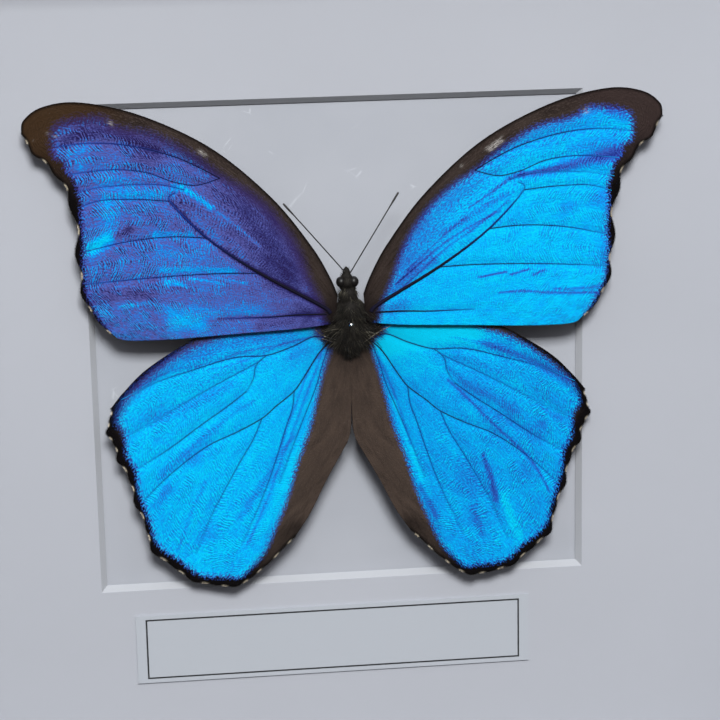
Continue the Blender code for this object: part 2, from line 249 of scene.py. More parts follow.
glass = Finish("clear float glass")
smears = glass.grain(glass.place((1, 1, 0.4)), 0.03, 3)
glass.surface({"Base Color": (0.975, 0.99, 0.985), "Transmission Weight": 1.0, "IOR": 1.45,
               "Roughness": glass.level(smears, 0.4, 0.8, 0.0, 0.03)})
straight_through = glass.add("ShaderNodeBsdfTransparent", {"Color": (0.97, 0.98, 0.98)})
for_light = glass.add("ShaderNodeLightPath", out="Is Shadow Ray")
pane_shader = glass.add("ShaderNodeMixShader", {0: for_light, 1: glass.shader.outputs[0],
                                                2: straight_through})
glass.tree.links.new(pane_shader, glass.tree.nodes["Material Output"].inputs["Surface"])
dress("glass_pane", glass.material)
# Light that bounces about inside the case must not meet the pane, or it would count twice
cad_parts["glass_pane"].visible_diffuse = False
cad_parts["glass_pane"].visible_glossy = False


# ---- Mat, panel and spacers ---------------------------------------------------------
# The mat is a 1.3 mm board with a faint cool paper face and a white pulp core, which shows
# in the window's 45 degree cut. A smooth white panel closes the window and takes the pin,
# and strips of the same board along the rails keep the glass away from the wings.

BOARD_WHITE = (0.497, 0.505, 0.565)
CORE_WHITE = (0.465, 0.473, 0.515)
FACE_PAPER_ENDS = (0.04, 0.07)

mat_face = Finish("mat board")
mat_grid = mat_face.place()
tooth = mat_face.grain(mat_grid, 3.2, 5, 0.65)
clouds = mat_face.grain(mat_grid, 0.018, 3)
face_colour = mat_face.blend(mat_face.level(clouds, 0.3, 0.7), BOARD_WHITE,
                             [tint * 0.965 for tint in BOARD_WHITE])
behind_face = mat_face.add("ShaderNodeSeparateXYZ", {0: mat_face.place(centre=mat_low)}, out="Y")
core = mat_face.level(behind_face, *FACE_PAPER_ENDS)
motes = mat_face.level(mat_face.add("ShaderNodeTexVoronoi", {"Vector": mat_grid, "Scale": 0.05}),
                       0.014, 0.008, 0.0, 0.45)
face_colour = mat_face.blend(motes, face_colour, (0.12, 0.11, 0.11))
mat_face.surface({"Base Color": mat_face.blend(core, face_colour, CORE_WHITE), "Roughness": 0.92,
                  "Specular IOR Level": 0.25, "Normal": mat_face.bump(tooth, 0.04, 0.5)})
dress("mat_board", mat_face.material)

panel_face = Finish("white panel")
panel_grid = panel_face.place()
haze = panel_face.grain(panel_grid, 0.03, 4, 0.6)
scuffs = panel_face.grain(panel_face.place((1, 1, 0.12)), 1.1, 3, 0.7, 0.4)
panel_colour = panel_face.blend(panel_face.level(haze, 0.3, 0.7), (0.475, 0.485, 0.543),
                                (0.435, 0.447, 0.505))
scratches = panel_face.add("ShaderNodeTexVoronoi", {"Vector": panel_grid, "Scale": 0.16},
                           feature="DISTANCE_TO_EDGE")
patches = panel_face.level(panel_face.grain(panel_grid, 0.22, 2), 0.62, 0.70)
scratched = panel_face.calc("MULTIPLY", panel_face.level(scratches, 0.020, 0.004), patches)
panel_face.surface({
    "Base Color": panel_face.blend(panel_face.calc("MULTIPLY", scratched, scuffs), panel_colour,
                                   (0.66, 0.68, 0.74)),
    "Roughness": 0.75, "Specular IOR Level": 0.3,
    "Normal": panel_face.bump(scuffs, 0.02, 0.4)})
dress("specimen_panel", panel_face.material)

strip_face = Finish("white spacer strip")
strip_tooth = strip_face.grain(strip_face.place(), 2.5, 4, 0.6)
strip_face.surface({
    "Base Color": strip_face.blend(strip_tooth, (0.54, 0.555, 0.60), (0.60, 0.61, 0.65)),
    "Roughness": 0.9, "Normal": strip_face.bump(strip_tooth, 0.05, 0.5)})
for side in ("top", "bottom", "left", "right"):
    dress("spacer_" + side, strip_face.material)


# ---- Label -------------------------------------------------------------------------------
# A strip of thin paper glued to the mat under the window. A fine black border is printed
# on it, a little inside its cut edge, and the space for a name is bare.

BORDER_REACH = (43.45, 7.05)
BORDER_LINE = 0.19
INK_SPREAD = 0.05

label_low, label_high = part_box("label_card")
paper = Finish("label paper")
label_grid = paper.place(centre=(label_low + label_high) / 2)
fibres = paper.grain(paper.place(), 2.0, 5, 0.7)
across, depth, up = (paper.add("ShaderNodeSeparateXYZ", {0: label_grid}, out=axis)
                     for axis in ("X", "Y", "Z"))
beyond = paper.calc("MAXIMUM",
                    paper.calc("SUBTRACT", paper.calc("ABSOLUTE", across), BORDER_REACH[0]),
                    paper.calc("SUBTRACT", paper.calc("ABSOLUTE", up), BORDER_REACH[1]))
wavering = paper.level(fibres, 0.3, 0.7, -0.03, 0.03)
off_line = paper.calc("ABSOLUTE", paper.calc("ADD", beyond, wavering))
on_front = paper.level(depth, 0.0, -0.05)
ink = paper.calc("MULTIPLY", on_front,
                 paper.level(off_line, BORDER_LINE + INK_SPREAD, BORDER_LINE - INK_SPREAD))
paper_colour = paper.blend(fibres, (0.475, 0.495, 0.555), (0.50, 0.52, 0.575))
paper.surface({"Base Color": paper.blend(ink, paper_colour, (0.022, 0.022, 0.024)),
               "Roughness": 0.85, "Specular IOR Level": 0.25,
               "Normal": paper.bump(fibres, 0.03, 0.5)})
dress("label_card", paper.material)


# ---- Wings -------------------------------------------------------------------------------
# Four dried wings of a large blue morpho: a membrane a tenth of a millimetre thick, ruffled
# across between its veins, with blue scales inside dark brown borders. They were spread and
# dried flat, and droop towards their tips. Each is drawn in millimetres for the right-hand
# side, from the middle of the thorax, and mirrored for the left.

FOREWING_COSTA = [(2.9, 7.4), (4.6, 11.6), (8.5, 18.5), (17.0, 29.5), (30.0, 40.8), (45.0, 48.3),
                  (58.0, 51.4), (66.0, 50.6), (70.2, 47.8), (70.8, 45.0)]
FOREWING_TEETH = [(70.8, 45.0, 0.3), (68.6, 40.5, 0.6), (64.2, 35.9, 0.9), (61.2, 28.8, 1.2),
                  (60.3, 18.0, 0.9), (59.4, 9.0, 0.4), (56.0, 2.9, 0.0), (51.8, -1.0, 0.0)]
FOREWING_INNER = [(3.4, 0.9), (12.0, -0.1), (26.0, -0.9), (40.0, -1.6), (49.0, -1.6), (51.8, -1.0)]
HINDWING_COSTA = [(3.2, -0.8), (12.0, 1.2), (24.0, 2.2), (34.0, -1.4), (45.2, -8.2), (51.0, -13.7),
                  (53.9, -17.2)]
HINDWING_TEETH = [(53.9, -17.2, 0.5), (55.3, -22.9, 1.1), (53.1, -29.4, 1.2), (49.6, -39.7, 1.2),
                  (46.0, -51.3, 1.0), (37.0, -58.7, 0.6), (27.0, -60.2, 0.2), (19.6, -55.0, 0.2),
                  (13.2, -48.6, 0.0)]
HINDWING_INNER = [(2.4, -6.6), (0.1, -7.9), (0.1, -20.0), (0.6, -25.6), (2.7, -29.8), (6.0, -35.8),
                  (9.8, -43.4), (13.2, -48.6)]

# The edge of the blue scales on each wing, as a closed line
FOREWING_BLUE = [(6.4, 1.6), (7.1, 5.2), (9.6, 10.9), (11.4, 16.0), (13.7, 20.6), (17.9, 26.3),
                 (23.1, 30.9), (28.1, 34.1), (32.5, 37.6), (36.5, 40.3), (42.6, 43.6), (50.5, 45.4),
                 (54.0, 47.4), (60.2, 47.0), (63.6, 45.5), (64.3, 42.2), (63.9, 39.6), (61.9, 38.4),
                 (61.8, 36.4), (60.0, 34.4), (59.3, 31.6), (58.7, 29.2), (58.9, 26.4), (58.7, 23.0),
                 (58.6, 19.5), (58.9, 16.5), (58.7, 12.2), (58.0, 8.2), (56.3, 4.4), (53.6, 0.4),
                 (51.0, -3.0), (26.0, -4.0), (6.2, -2.0)]
HINDWING_BLUE = [(4.6, -4.0), (6.0, -3.0), (7.6, -1.7), (9.2, 0.8), (22.0, 1.0), (30.5, -1.9),
                 (35.6, -3.7), (40.4, -6.3), (44.4, -9.2), (48.6, -12.8), (51.4, -16.2),
                 (52.9, -20.3), (51.4, -23.4), (51.0, -28.3), (49.2, -31.9), (48.8, -36.2),
                 (47.5, -40.7), (46.4, -44.2), (45.3, -48.7), (43.3, -51.3), (39.6, -54.0),
                 (36.4, -56.9), (33.0, -57.9), (29.6, -58.1), (26.0, -58.2), (23.2, -55.8),
                 (20.2, -52.4), (17.3, -46.1), (14.6, -39.6), (12.1, -31.2), (9.2, -23.0),
                 (6.6, -12.4), (4.9, -6.4)]

# Veins as (how dark, radius at the base, radius at the tip, points)
FOREWING_VEINS = [
    (1.0, 0.50, 0.14, [(4.6, 3.2), (6.6, 5.0), (20.0, 12.7), (31.4, 20.9), (39.3, 29.3),
                       (38.0, 31.2)]),
    (0.9, 0.12, 0.08, [(20.3, 12.7), (28.6, 12.9), (40.0, 12.6), (50.0, 12.0), (58.6, 11.4)]),
    (0.9, 0.12, 0.08, [(31.4, 20.9), (39.5, 21.4), (49.0, 20.6), (58.6, 18.6)]),
    (0.8, 0.11, 0.08, [(39.3, 29.3), (46.2, 29.9), (54.3, 29.9), (59.4, 28.4)]),
    (0.9, 0.11, 0.08, [(28.2, 34.1), (33.4, 32.7), (38.5, 33.6), (44.6, 35.9), (52.0, 36.6),
                       (61.0, 35.8)]),
    (0.9, 0.14, 0.08, [(28.2, 34.1), (37.2, 38.8), (47.3, 41.7), (56.2, 42.5), (63.6, 41.8)]),
    (0.5, 0.08, 0.07, [(36.0, 31.7), (41.0, 33.0), (47.4, 33.2), (54.6, 32.8), (60.0, 31.7)]),
    (1.0, 0.24, 0.08, [(5.4, 3.0), (12.0, 3.0), (18.1, 2.7), (28.0, 2.7)]),
]
HINDWING_VEINS = [
    (0.8, 0.13, 0.07, [(4.6, -3.3), (8.1, -2.3), (12.9, -4.4), (18.9, -6.3), (26.3, -6.6),
                       (35.7, -9.2), (44.0, -11.8), (51.6, -15.4)]),
    (0.8, 0.08, 0.06, [(18.9, -6.3), (20.6, -7.7), (21.5, -9.1), (22.0, -11.6), (23.6, -14.4)]),
    (0.5, 0.08, 0.06, [(20.6, -7.7), (30.2, -12.6), (37.8, -16.8), (45.4, -21.3), (51.6, -24.0)]),
    (0.8, 0.08, 0.08, [(23.6, -14.4), (28.3, -18.0), (34.0, -21.9), (41.4, -27.2), (48.9, -31.6)]),
    (1.0, 0.14, 0.07, [(4.8, -3.8), (7.3, -6.4), (10.9, -12.0), (13.0, -14.8), (17.1, -18.1),
                       (20.3, -20.8), (26.0, -23.8), (33.0, -27.0), (41.4, -33.2), (47.4, -39.0)]),
    (0.6, 0.08, 0.06, [(20.3, -20.8), (22.3, -25.5), (25.2, -30.4), (28.6, -36.4), (32.4, -43.4),
                       (36.0, -52.0)]),
    (0.7, 0.08, 0.06, [(12.9, -14.8), (13.4, -18.8), (14.9, -23.0), (17.0, -29.6), (20.0, -38.0),
                       (25.4, -50.0)]),
    (0.7, 0.08, 0.06, [(4.9, -4.6), (6.4, -8.8), (8.0, -14.0), (10.6, -20.4), (13.4, -27.4),
                       (16.6, -36.0)]),
]

# Painted sheen and shade on the blue: how bright and green the iridescent scales look as each wing
# catches the light, with narrow dark strokes that paint shade in folds and beside veins. Each is
# (strength, half width, points), or (strength, (half width where it starts, half width where it
# ends), points); above zero is greener and brighter
RIGHT_FOREWING_SHEEN = [
    (-0.55, 3.2, [(9.6, 10.1), (16.7, 23.7), (25.9, 31.1), (35.2, 39.9), (48.9, 44.8),
                  (57.0, 47.4)]),
    (-0.30, (5.0, 3.0), [(8.0, 7.0), (14.0, 15.0), (22.0, 24.0)]),
    (-0.95, 1.6, [(57.1, 46.6), (60.4, 46.2), (63.4, 43.8)]),
    (-0.50, (0.8, 2.6), [(48.6, 38.2), (54.0, 38.7), (63.4, 38.6)]),
    (-1.25, (0.15, 0.55), [(26.5, 25.6), (31.1, 28.5), (33.9, 30.5), (36.3, 32.0), (39.1, 32.9)]),
    (-1.35, (0.55, 1.9), [(38.0, 32.6), (46.0, 33.7), (51.2, 34.8), (56.4, 36.0), (62.6, 37.0)]),
    (-0.60, 0.85, [(20.0, 19.6), (26.3, 23.5), (30.8, 26.2), (36.6, 28.8)]),
    (-0.75, 0.26, [(12.5, 12.0), (22.8, 21.2), (26.3, 23.7)]),
    (-1.05, 0.26, [(10.0, 9.0), (20.0, 17.2), (25.2, 20.5), (29.4, 22.7), (34.2, 25.0)]),
    (-0.90, 0.24, [(10.5, 7.2), (18.3, 14.1), (22.8, 17.8), (28.0, 21.1), (36.0, 27.2)]),
    (-0.55, 1.2, [(8.8, 7.0), (14.0, 11.5), (20.0, 15.0)]),
    (-1.6, 0.24, [(28.7, 9.9), (32.9, 10.6), (35.6, 11.0)]),
    (-1.5, 0.22, [(36.0, 10.2), (40.9, 11.4)]),
    (-1.3, 0.22, [(41.2, 9.8), (44.4, 11.1)]),
    (-1.2, (0.22, 0.34), [(33.5, 6.2), (39.1, 6.4), (46.2, 5.7), (57.0, 5.3)]),
    (-0.9, (0.2, 0.5), [(46.0, 6.6), (50.0, 6.4), (57.5, 6.6)]),
    (-0.50, (1.0, 3.0), [(14.0, 5.2), (6.5, 2.5)]),
    (-0.30, 2.0, [(58.6, 31.0), (58.4, 20.0), (57.5, 9.0)]),
    (-0.35, 1.4, [(46.5, 24.6), (54.0, 26.0), (58.5, 26.8)]),
]
LEFT_FOREWING_SHEEN = [
    (-0.75, 1.5, [(63.0, 42.4), (58.0, 44.6), (52.0, 44.9), (46.0, 42.8), (40.0, 40.0)]),
    (1.5, 1.6, [(58.4, 18.2), (55.3, 20.2), (51.5, 22.6)]),
    (0.55, 3.4, [(56.4, 27.4), (52.7, 27.2), (49.1, 26.2)]),
    (0.50, 1.3, [(51.1, 31.4), (47.5, 30.8), (41.9, 31.2), (35.9, 32.6)]),
    (0.60, 1.5, [(54.6, 29.6), (51.4, 30.0)]),
    (0.50, 1.3, [(61.9, 40.7), (58.9, 41.1), (55.6, 41.9)]),
    (0.65, 1.5, [(59.9, 37.2), (56.9, 37.6)]),
    (0.30, 2.6, [(56.0, 34.6), (50.0, 34.0), (43.0, 33.6)]),
    (-0.30, 3.4, [(49.8, 38.9), (43.9, 38.8), (38.1, 37.5)]),
    (-0.50, 4.6, [(32.0, 35.1), (23.2, 28.6), (17.6, 22.5), (13.9, 14.5), (10.8, 8.5)]),
    (-0.35, 4.0, [(27.0, 24.5), (18.0, 15.5), (10.5, 7.5)]),
    (0.65, 0.9, [(43.5, 22.0), (40.7, 22.0), (33.5, 21.6)]),
    (-0.65, 0.8, [(51.8, 21.4), (50.6, 22.2), (46.9, 24.1)]),
    (0.60, 2.1, [(57.2, 16.0), (56.6, 12.6)]),
    (0.45, 1.8, [(52.0, 16.0), (48.6, 15.2)]),
    (-0.45, (2.0, 1.0), [(58.6, 8.0), (50.0, 8.6), (42.0, 8.4)]),
    (0.55, 0.45, [(51.6, 6.0), (47.6, 6.6), (44.0, 7.0)]),
    (0.55, 1.4, [(56.6, 5.4), (53.6, 4.2)]),
    (0.95, 0.7, [(37.4, 32.9), (33.3, 30.0), (29.6, 27.1)]),
    (0.50, 0.35, [(29.6, 27.1), (26.2, 24.6), (22.6, 21.4), (19.7, 18.5)]),
    (-0.35, 1.6, [(37.7, 30.2), (36.1, 28.5), (32.4, 26.0)]),
    (0.70, 0.8, [(42.4, 13.9), (35.0, 13.9), (24.6, 13.4)]),
    (0.80, (0.9, 0.3), [(41.8, 11.4), (38.6, 11.0), (35.6, 9.8)]),
    (0.60, 0.35, [(36.0, 12.0), (31.1, 11.3), (27.6, 10.2)]),
    (0.50, 0.30, [(31.0, 12.4), (26.4, 11.3), (22.6, 10.4)]),
    (-0.40, 0.40, [(39.7, 10.3), (35.2, 9.5)]),
    (0.80, 2.2, [(41.3, 2.0), (36.0, 1.9), (30.9, 0.9)]),
    (0.40, 1.6, [(42.3, 5.0), (30.0, 4.4), (18.9, 4.0)]),
    (0.25, 2.4, [(46.0, 1.0), (50.0, 1.4)]),
    (-0.65, 3.4, [(13.1, 6.3), (9.4, 2.4), (7.0, 1.0)]),
    (-0.35, 1.2, [(22.0, 0.8), (12.0, 1.2)]),
    (0.25, 2.2, [(28.0, 19.5), (36.0, 17.5), (45.0, 17.0)]),
    (-1.1, (0.8, 0.35), [(4.6, 3.2), (6.6, 5.0), (20.0, 12.7), (31.4, 20.9), (39.3, 29.3)]),
    (-0.7, (0.5, 0.3), [(5.4, 3.0), (12.0, 3.0), (18.1, 2.7), (30.0, 2.7)]),
]
LEFT_HINDWING_SHEEN = [
    (-0.58, (2.6, 3.4), [(10.5, -0.6), (22.5, -2.1), (33.5, -4.3), (44.8, -8.4), (51.6, -14.8)]),
    (-0.45, 2.0, [(8.0, -4.0), (15.0, -7.6)]),
    (-0.40, (0.7, 2.0), [(26.0, -12.2), (36.0, -17.0), (47.0, -21.6)]),
    (-0.55, 0.26, [(8.5, -2.2), (16.2, -4.0), (24.2, -5.3), (32.2, -7.8), (40.2, -9.1),
                   (48.3, -12.9)]),
    (-0.45, 0.26, [(14.0, -3.2), (24.0, -7.4), (33.0, -9.4)]),
    (-0.42, (0.3, 1.0), [(21.3, -16.1), (28.6, -20.8), (34.4, -25.5), (40.1, -30.2),
                         (43.9, -34.2)]),
    (-0.40, 1.6, [(34.0, -27.8), (38.0, -31.0)]),
    (-0.55, (0.9, 1.5), [(41.1, -35.2), (43.6, -38.5), (45.4, -41.7)]),
    (-0.50, 0.28, [(33.1, -34.8), (36.5, -41.3), (38.3, -46.3), (40.4, -51.3)]),
    (-0.60, 0.30, [(5.3, -4.4), (9.1, -9.2), (11.2, -14.1), (12.4, -17.3), (14.1, -21.4),
                   (16.3, -28.0)]),
    (-0.60, 0.32, [(6.6, -6.4), (8.3, -10.9), (10.4, -16.2), (13.0, -23.1), (17.2, -33.4),
                   (19.4, -39.6), (24.6, -50.9)]),
    (-0.45, (0.3, 1.2), [(12.6, -24.8), (16.8, -29.7), (19.7, -35.4), (22.7, -39.5),
                         (24.4, -41.9)]),
    (-0.40, 0.9, [(23.0, -41.0), (27.0, -44.6)]),
    (-0.35, 1.6, [(31.0, -46.0), (37.0, -51.0)]),
    (0.25, 1.0, [(12.0, -27.4), (15.4, -35.6), (20.0, -46.0)]),
]
RIGHT_HINDWING_SHEEN = [
    (-0.85, (0.3, 1.3), [(22.4, -3.6), (30.4, -5.6), (38.8, -8.9), (45.0, -12.2), (51.0, -15.6)]),
    (-0.45, (0.3, 1.6), [(21.8, -10.5), (27.0, -15.2), (33.0, -18.6), (39.0, -23.0)]),
    (1.35, (3.4, 2.2), [(5.0, -5.0), (12.0, -3.4), (20.0, -2.4), (31.0, -3.8)]),
    (0.30, 3.6, [(10.0, -6.0), (16.0, -9.0), (20.0, -13.0)]),
    (-0.35, 3.6, [(24.6, -31.4), (27.5, -37.3), (29.0, -42.4)]),
    (-0.35, 2.6, [(38.0, -34.0), (42.0, -37.0)]),
    (-0.95, 0.28, [(21.9, -13.5), (26.2, -17.7), (33.0, -24.9), (39.0, -30.9), (43.0, -36.0),
                   (45.8, -41.6)]),
    (-0.40, (0.6, 1.6), [(29.0, -20.0), (36.0, -24.0), (44.6, -29.5)]),
    (-0.95, (0.3, 0.9), [(30.0, -31.0), (30.8, -33.6), (32.2, -37.6), (33.6, -44.0)]),
    (-0.60, (1.2, 0.8), [(27.6, -43.0), (28.6, -47.0), (30.6, -52.0)]),
    (0.60, 1.1, [(34.6, -40.5), (35.4, -43.5), (37.4, -48.6), (39.2, -53.6)]),
    (0.45, 0.8, [(9.5, -17.5), (13.5, -29.1), (17.6, -41.8)]),
    (-0.60, 0.35, [(6.0, -7.0), (9.5, -15.5), (12.0, -23.0), (13.6, -28.4)]),
    (-0.75, 0.8, [(15.4, -37.0), (17.8, -43.1), (20.0, -46.6)]),
    (-0.30, 3.0, [(26.0, -13.0), (30.2, -17.0)]),
    (-0.50, (0.3, 0.8), [(43.0, -20.8), (49.0, -24.8)]),
    (-0.35, 1.6, [(46.0, -27.0), (42.0, -24.6)]),
]
# Where rubbed or folded scales show pale: (strength, half width, points)
RIGHT_FOREWING_FLECKS = [
    (1.0, 0.55, [(52.9, 46.1), (53.9, 47.0)]),
    (0.9, 0.40, [(30.6, 38.5), (32.6, 39.8), (34.4, 41.3)]),
    (0.7, 0.35, [(31.4, 38.2), (34.8, 40.6)]),
    (0.5, 0.35, [(24.8, 34.9), (25.6, 35.5)]),
]
LEFT_FOREWING_FLECKS = [
    (0.9, 0.40, [(51.2, 46.2), (52.0, 47.3)]),
    (0.5, 0.30, [(65.0, 44.7), (65.3, 45.1)]),
    (0.5, 0.45, [(63.1, 43.9), (64.0, 44.5)]),
    (0.35, 0.25, [(68.1, 43.2), (68.4, 43.4)]),
    (0.8, 0.40, [(30.9, 39.1), (32.9, 40.4)]),
]

WING_DROOP = math.radians(1.9)
MEMBRANE = 0.12
SAG_BETWEEN_VEINS, SWELL, WAVES, MARGIN_CRIMP = 0.20, 0.16, 0.035, 0.14
FOREWING_HEIGHT, HINDWING_HEIGHT = 6.3, 5.0
GRID_ALONG, GRID_ACROSS = 245, 190
BAY_STEPS = 24


def smooth_line(points, per_span=8):
    """A Catmull-Rom curve through the points, with its last point."""
    ends = np.array([points[0], *points, points[-1]], float)
    t = np.linspace(0, 1, per_span, endpoint=False)[:, None]
    spans = [((-t + 2 * t**2 - t**3) * p0 + (2 - 5 * t**2 + 3 * t**3) * p1
              + (t + 4 * t**2 - 3 * t**3) * p2 + (t**3 - t**2) * p3) / 2
             for p0, p1, p2, p3 in zip(ends, ends[1:], ends[2:], ends[3:])]
    return np.vstack([*spans, ends[-1:]])


def headings(line):
    """The direction of a line at each of its points."""
    heading = np.gradient(line, axis=0)
    return heading / np.linalg.norm(heading, axis=1)[:, None]


def scalloped_line(teeth, double):
    """An outer margin of round lobes; double puts a small lobe in the middle of each bay."""
    line = smooth_line([tooth[:2] for tooth in teeth], BAY_STEPS)
    heading = headings(line)
    inward = np.column_stack((heading[:, 1], -heading[:, 0]))
    t = np.arange(len(line)) / BAY_STEPS
    bite = np.interp(t, np.arange(len(teeth)) + 0.5, [tooth[2] for tooth in teeth])
    bay = (1 - np.cos(2 * math.pi * t)) / 2
    ripple = (1 - np.cos(4 * math.pi * t)) / 2
    depth = bite * (0.75 * bay + 0.50 * ripple if double else 1.1 * bay)
    return line + inward * depth[:, None]


def evenly(line, count):
    """The same line with its points spaced evenly."""
    line = np.asarray(line, float)
    run = np.concatenate(([0], np.cumsum(np.linalg.norm(np.diff(line, axis=0), axis=1))))
    at = np.linspace(0, run[-1], count)
    return np.stack([np.interp(at, run, line[:, k]) for k in range(line.shape[1])], axis=1)


def near_line(points, line):
    """How far each point is from an open line, and how far along it that is, from 0 to 1."""
    line = np.asarray(line, float)
    nearest = np.full(len(points), np.inf)
    place = np.zeros(len(points))
    for number, (start, end) in enumerate(zip(line, line[1:])):
        span = end - start
        t = np.clip(((points - start) @ span) / max(span @ span, 1e-12), 0, 1)
        gap = np.linalg.norm(points - start - t[:, None] * span, axis=1)
        place = np.where(gap < nearest, (number + t) / (len(line) - 1), place)
        nearest = np.minimum(nearest, gap)
    return nearest, place


def distance(points, line):
    return near_line(points, line)[0]


def depth_inside(points, loop):
    """How far each point is inside a closed line; below zero outside it."""
    loop = np.asarray(loop, float)
    inside = np.zeros(len(points), bool)
    for (x0, y0), (x1, y1) in zip(loop, np.roll(loop, -1, axis=0)):
        crosses = (y0 > points[:, 1]) != (y1 > points[:, 1])
        with np.errstate(divide="ignore", invalid="ignore"):
            left = points[:, 0] < (x1 - x0) * (points[:, 1] - y0) / (y1 - y0) + x0
        inside ^= crosses & left
    return np.where(inside, 1, -1) * distance(points, np.vstack((loop, loop[:1])))


def painted(points, strokes):
    """The sum of soft brush strokes at each point."""
    total = np.zeros(len(points))
    for strength, width, line in strokes:
        first, last = width if isinstance(width, tuple) else (width, width)
        drawn = smooth_line(line, 3)
        gap, place = near_line(points, drawn)
        width = first + (last - first) * place
        to_end = np.minimum(place, 1 - place) * np.linalg.norm(np.diff(drawn, axis=0), axis=1).sum()
        total += strength * np.clip(0.15 + to_end / (1.6 * width), 0, 1) * np.exp(-(gap / width)**2)
    return total


class Wing:
    """One pair's drawing: its outline, blue field and veins, and its height anywhere."""

    def __init__(self, costa, teeth, inner, blue, veins, height, double):
        self.costa = smooth_line(costa)
        self.margin = scalloped_line(teeth, double)
        self.inner = smooth_line(inner)
        self.blue = smooth_line([*blue, blue[0]], 4)[:-1]
        self.veins = [(*vein, smooth_line(line, 5)) for *vein, line in veins]
        self.height = height
        self.double = double

    def grid(self):
        """Rows from the leading edge to the inner margin, columns from base to outer margin."""
        lead, trail = evenly(self.costa, GRID_ALONG), evenly(self.inner, GRID_ALONG)
        outer = evenly(self.margin, GRID_ACROSS)
        root = np.linspace(lead[0], trail[0], GRID_ACROSS)
        u = np.linspace(0, 1, GRID_ALONG)[None, :, None]
        v = np.linspace(0, 1, GRID_ACROSS)[:, None, None]
        return ((1 - v) * lead[None] + v * trail[None]
                + (1 - u) * root[:, None] + u * outer[:, None]
                - (1 - u) * (1 - v) * lead[0] - u * (1 - v) * lead[-1]
                - (1 - u) * v * trail[0] - u * v * trail[-1])

    def to_veins(self, points):
        return np.min([distance(points, line) for *_, line in self.veins], axis=0)

    def lift(self, points, hand):
        """Height of the upper surface above the mat."""
        x, y = points.T
        sag = SAG_BETWEEN_VEINS * (1 - np.exp(-(self.to_veins(points) / 1.1)**2))
        swell = SWELL * np.sin(x / 7.1 + hand) * np.sin(y / 6.3 + 2 * hand)
        waves = WAVES * np.sin(2.9 * x + 1.3 * np.sin(y / 2.3)) * np.sin(y / 3.1 + x / 9)
        rim = np.minimum(distance(points, self.margin), 6)
        crimp = MARGIN_CRIMP * np.exp(-rim / 1.6) * np.sin(points @ (0.9, 0.7) + hand)
        return self.height - x * math.sin(WING_DROOP) + sag + swell + waves + crimp

    def stand(self, points, hand, *above):
        """Flat points of one wing, put in their place in the case at each height, in metres."""
        lift = self.lift(points, hand)
        flat = np.vstack([np.column_stack((hand * points[:, 0] * math.cos(WING_DROOP), points[:, 1],
                                           lift + height)) for height in above]) * MM
        return flat @ np.array(specimen.to_3x3()).T + np.array(specimen.translation)


def quad_mesh(name, points, quads):
    mesh = bpy.data.meshes.new(name)
    mesh.vertices.add(len(points))
    mesh.vertices.foreach_set("co", np.asarray(points, np.float32).ravel())
    mesh.loops.add(quads.size)
    mesh.loops.foreach_set("vertex_index", quads.astype(np.int32).ravel())
    mesh.polygons.add(len(quads))
    mesh.polygons.foreach_set("loop_start", np.arange(0, quads.size, 4, dtype=np.int32))
    mesh.update(calc_edges=True)
    mesh.validate()
    mesh.shade_smooth()
    return mesh


def note(mesh, name, values):
    """Write one number, or one vector, for each point of the mesh."""
    values = np.asarray(values, np.float32)
    kind, key = ("FLOAT", "value") if values.ndim == 1 else ("FLOAT_VECTOR", "vector")
    mesh.attributes.new(name, kind, "POINT").data.foreach_set(key, values.ravel())


def add_piece(name, mesh, finish):
    piece = put(name, mesh)
    mesh.materials.append(finish)
    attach(piece, "root")
    return piece


def bay_places(wing, step):
    """How cream the margin is at each step along it: pale slips in the bays between lobes."""
    bay = step % BAY_STEPS / BAY_STEPS
    if wing.double:
        return np.exp(-((bay - 0.26) / 0.075)**4) + np.exp(-((bay - 0.70) / 0.065)**4)
    return np.exp(-((bay - 0.5) / 0.10)**4)


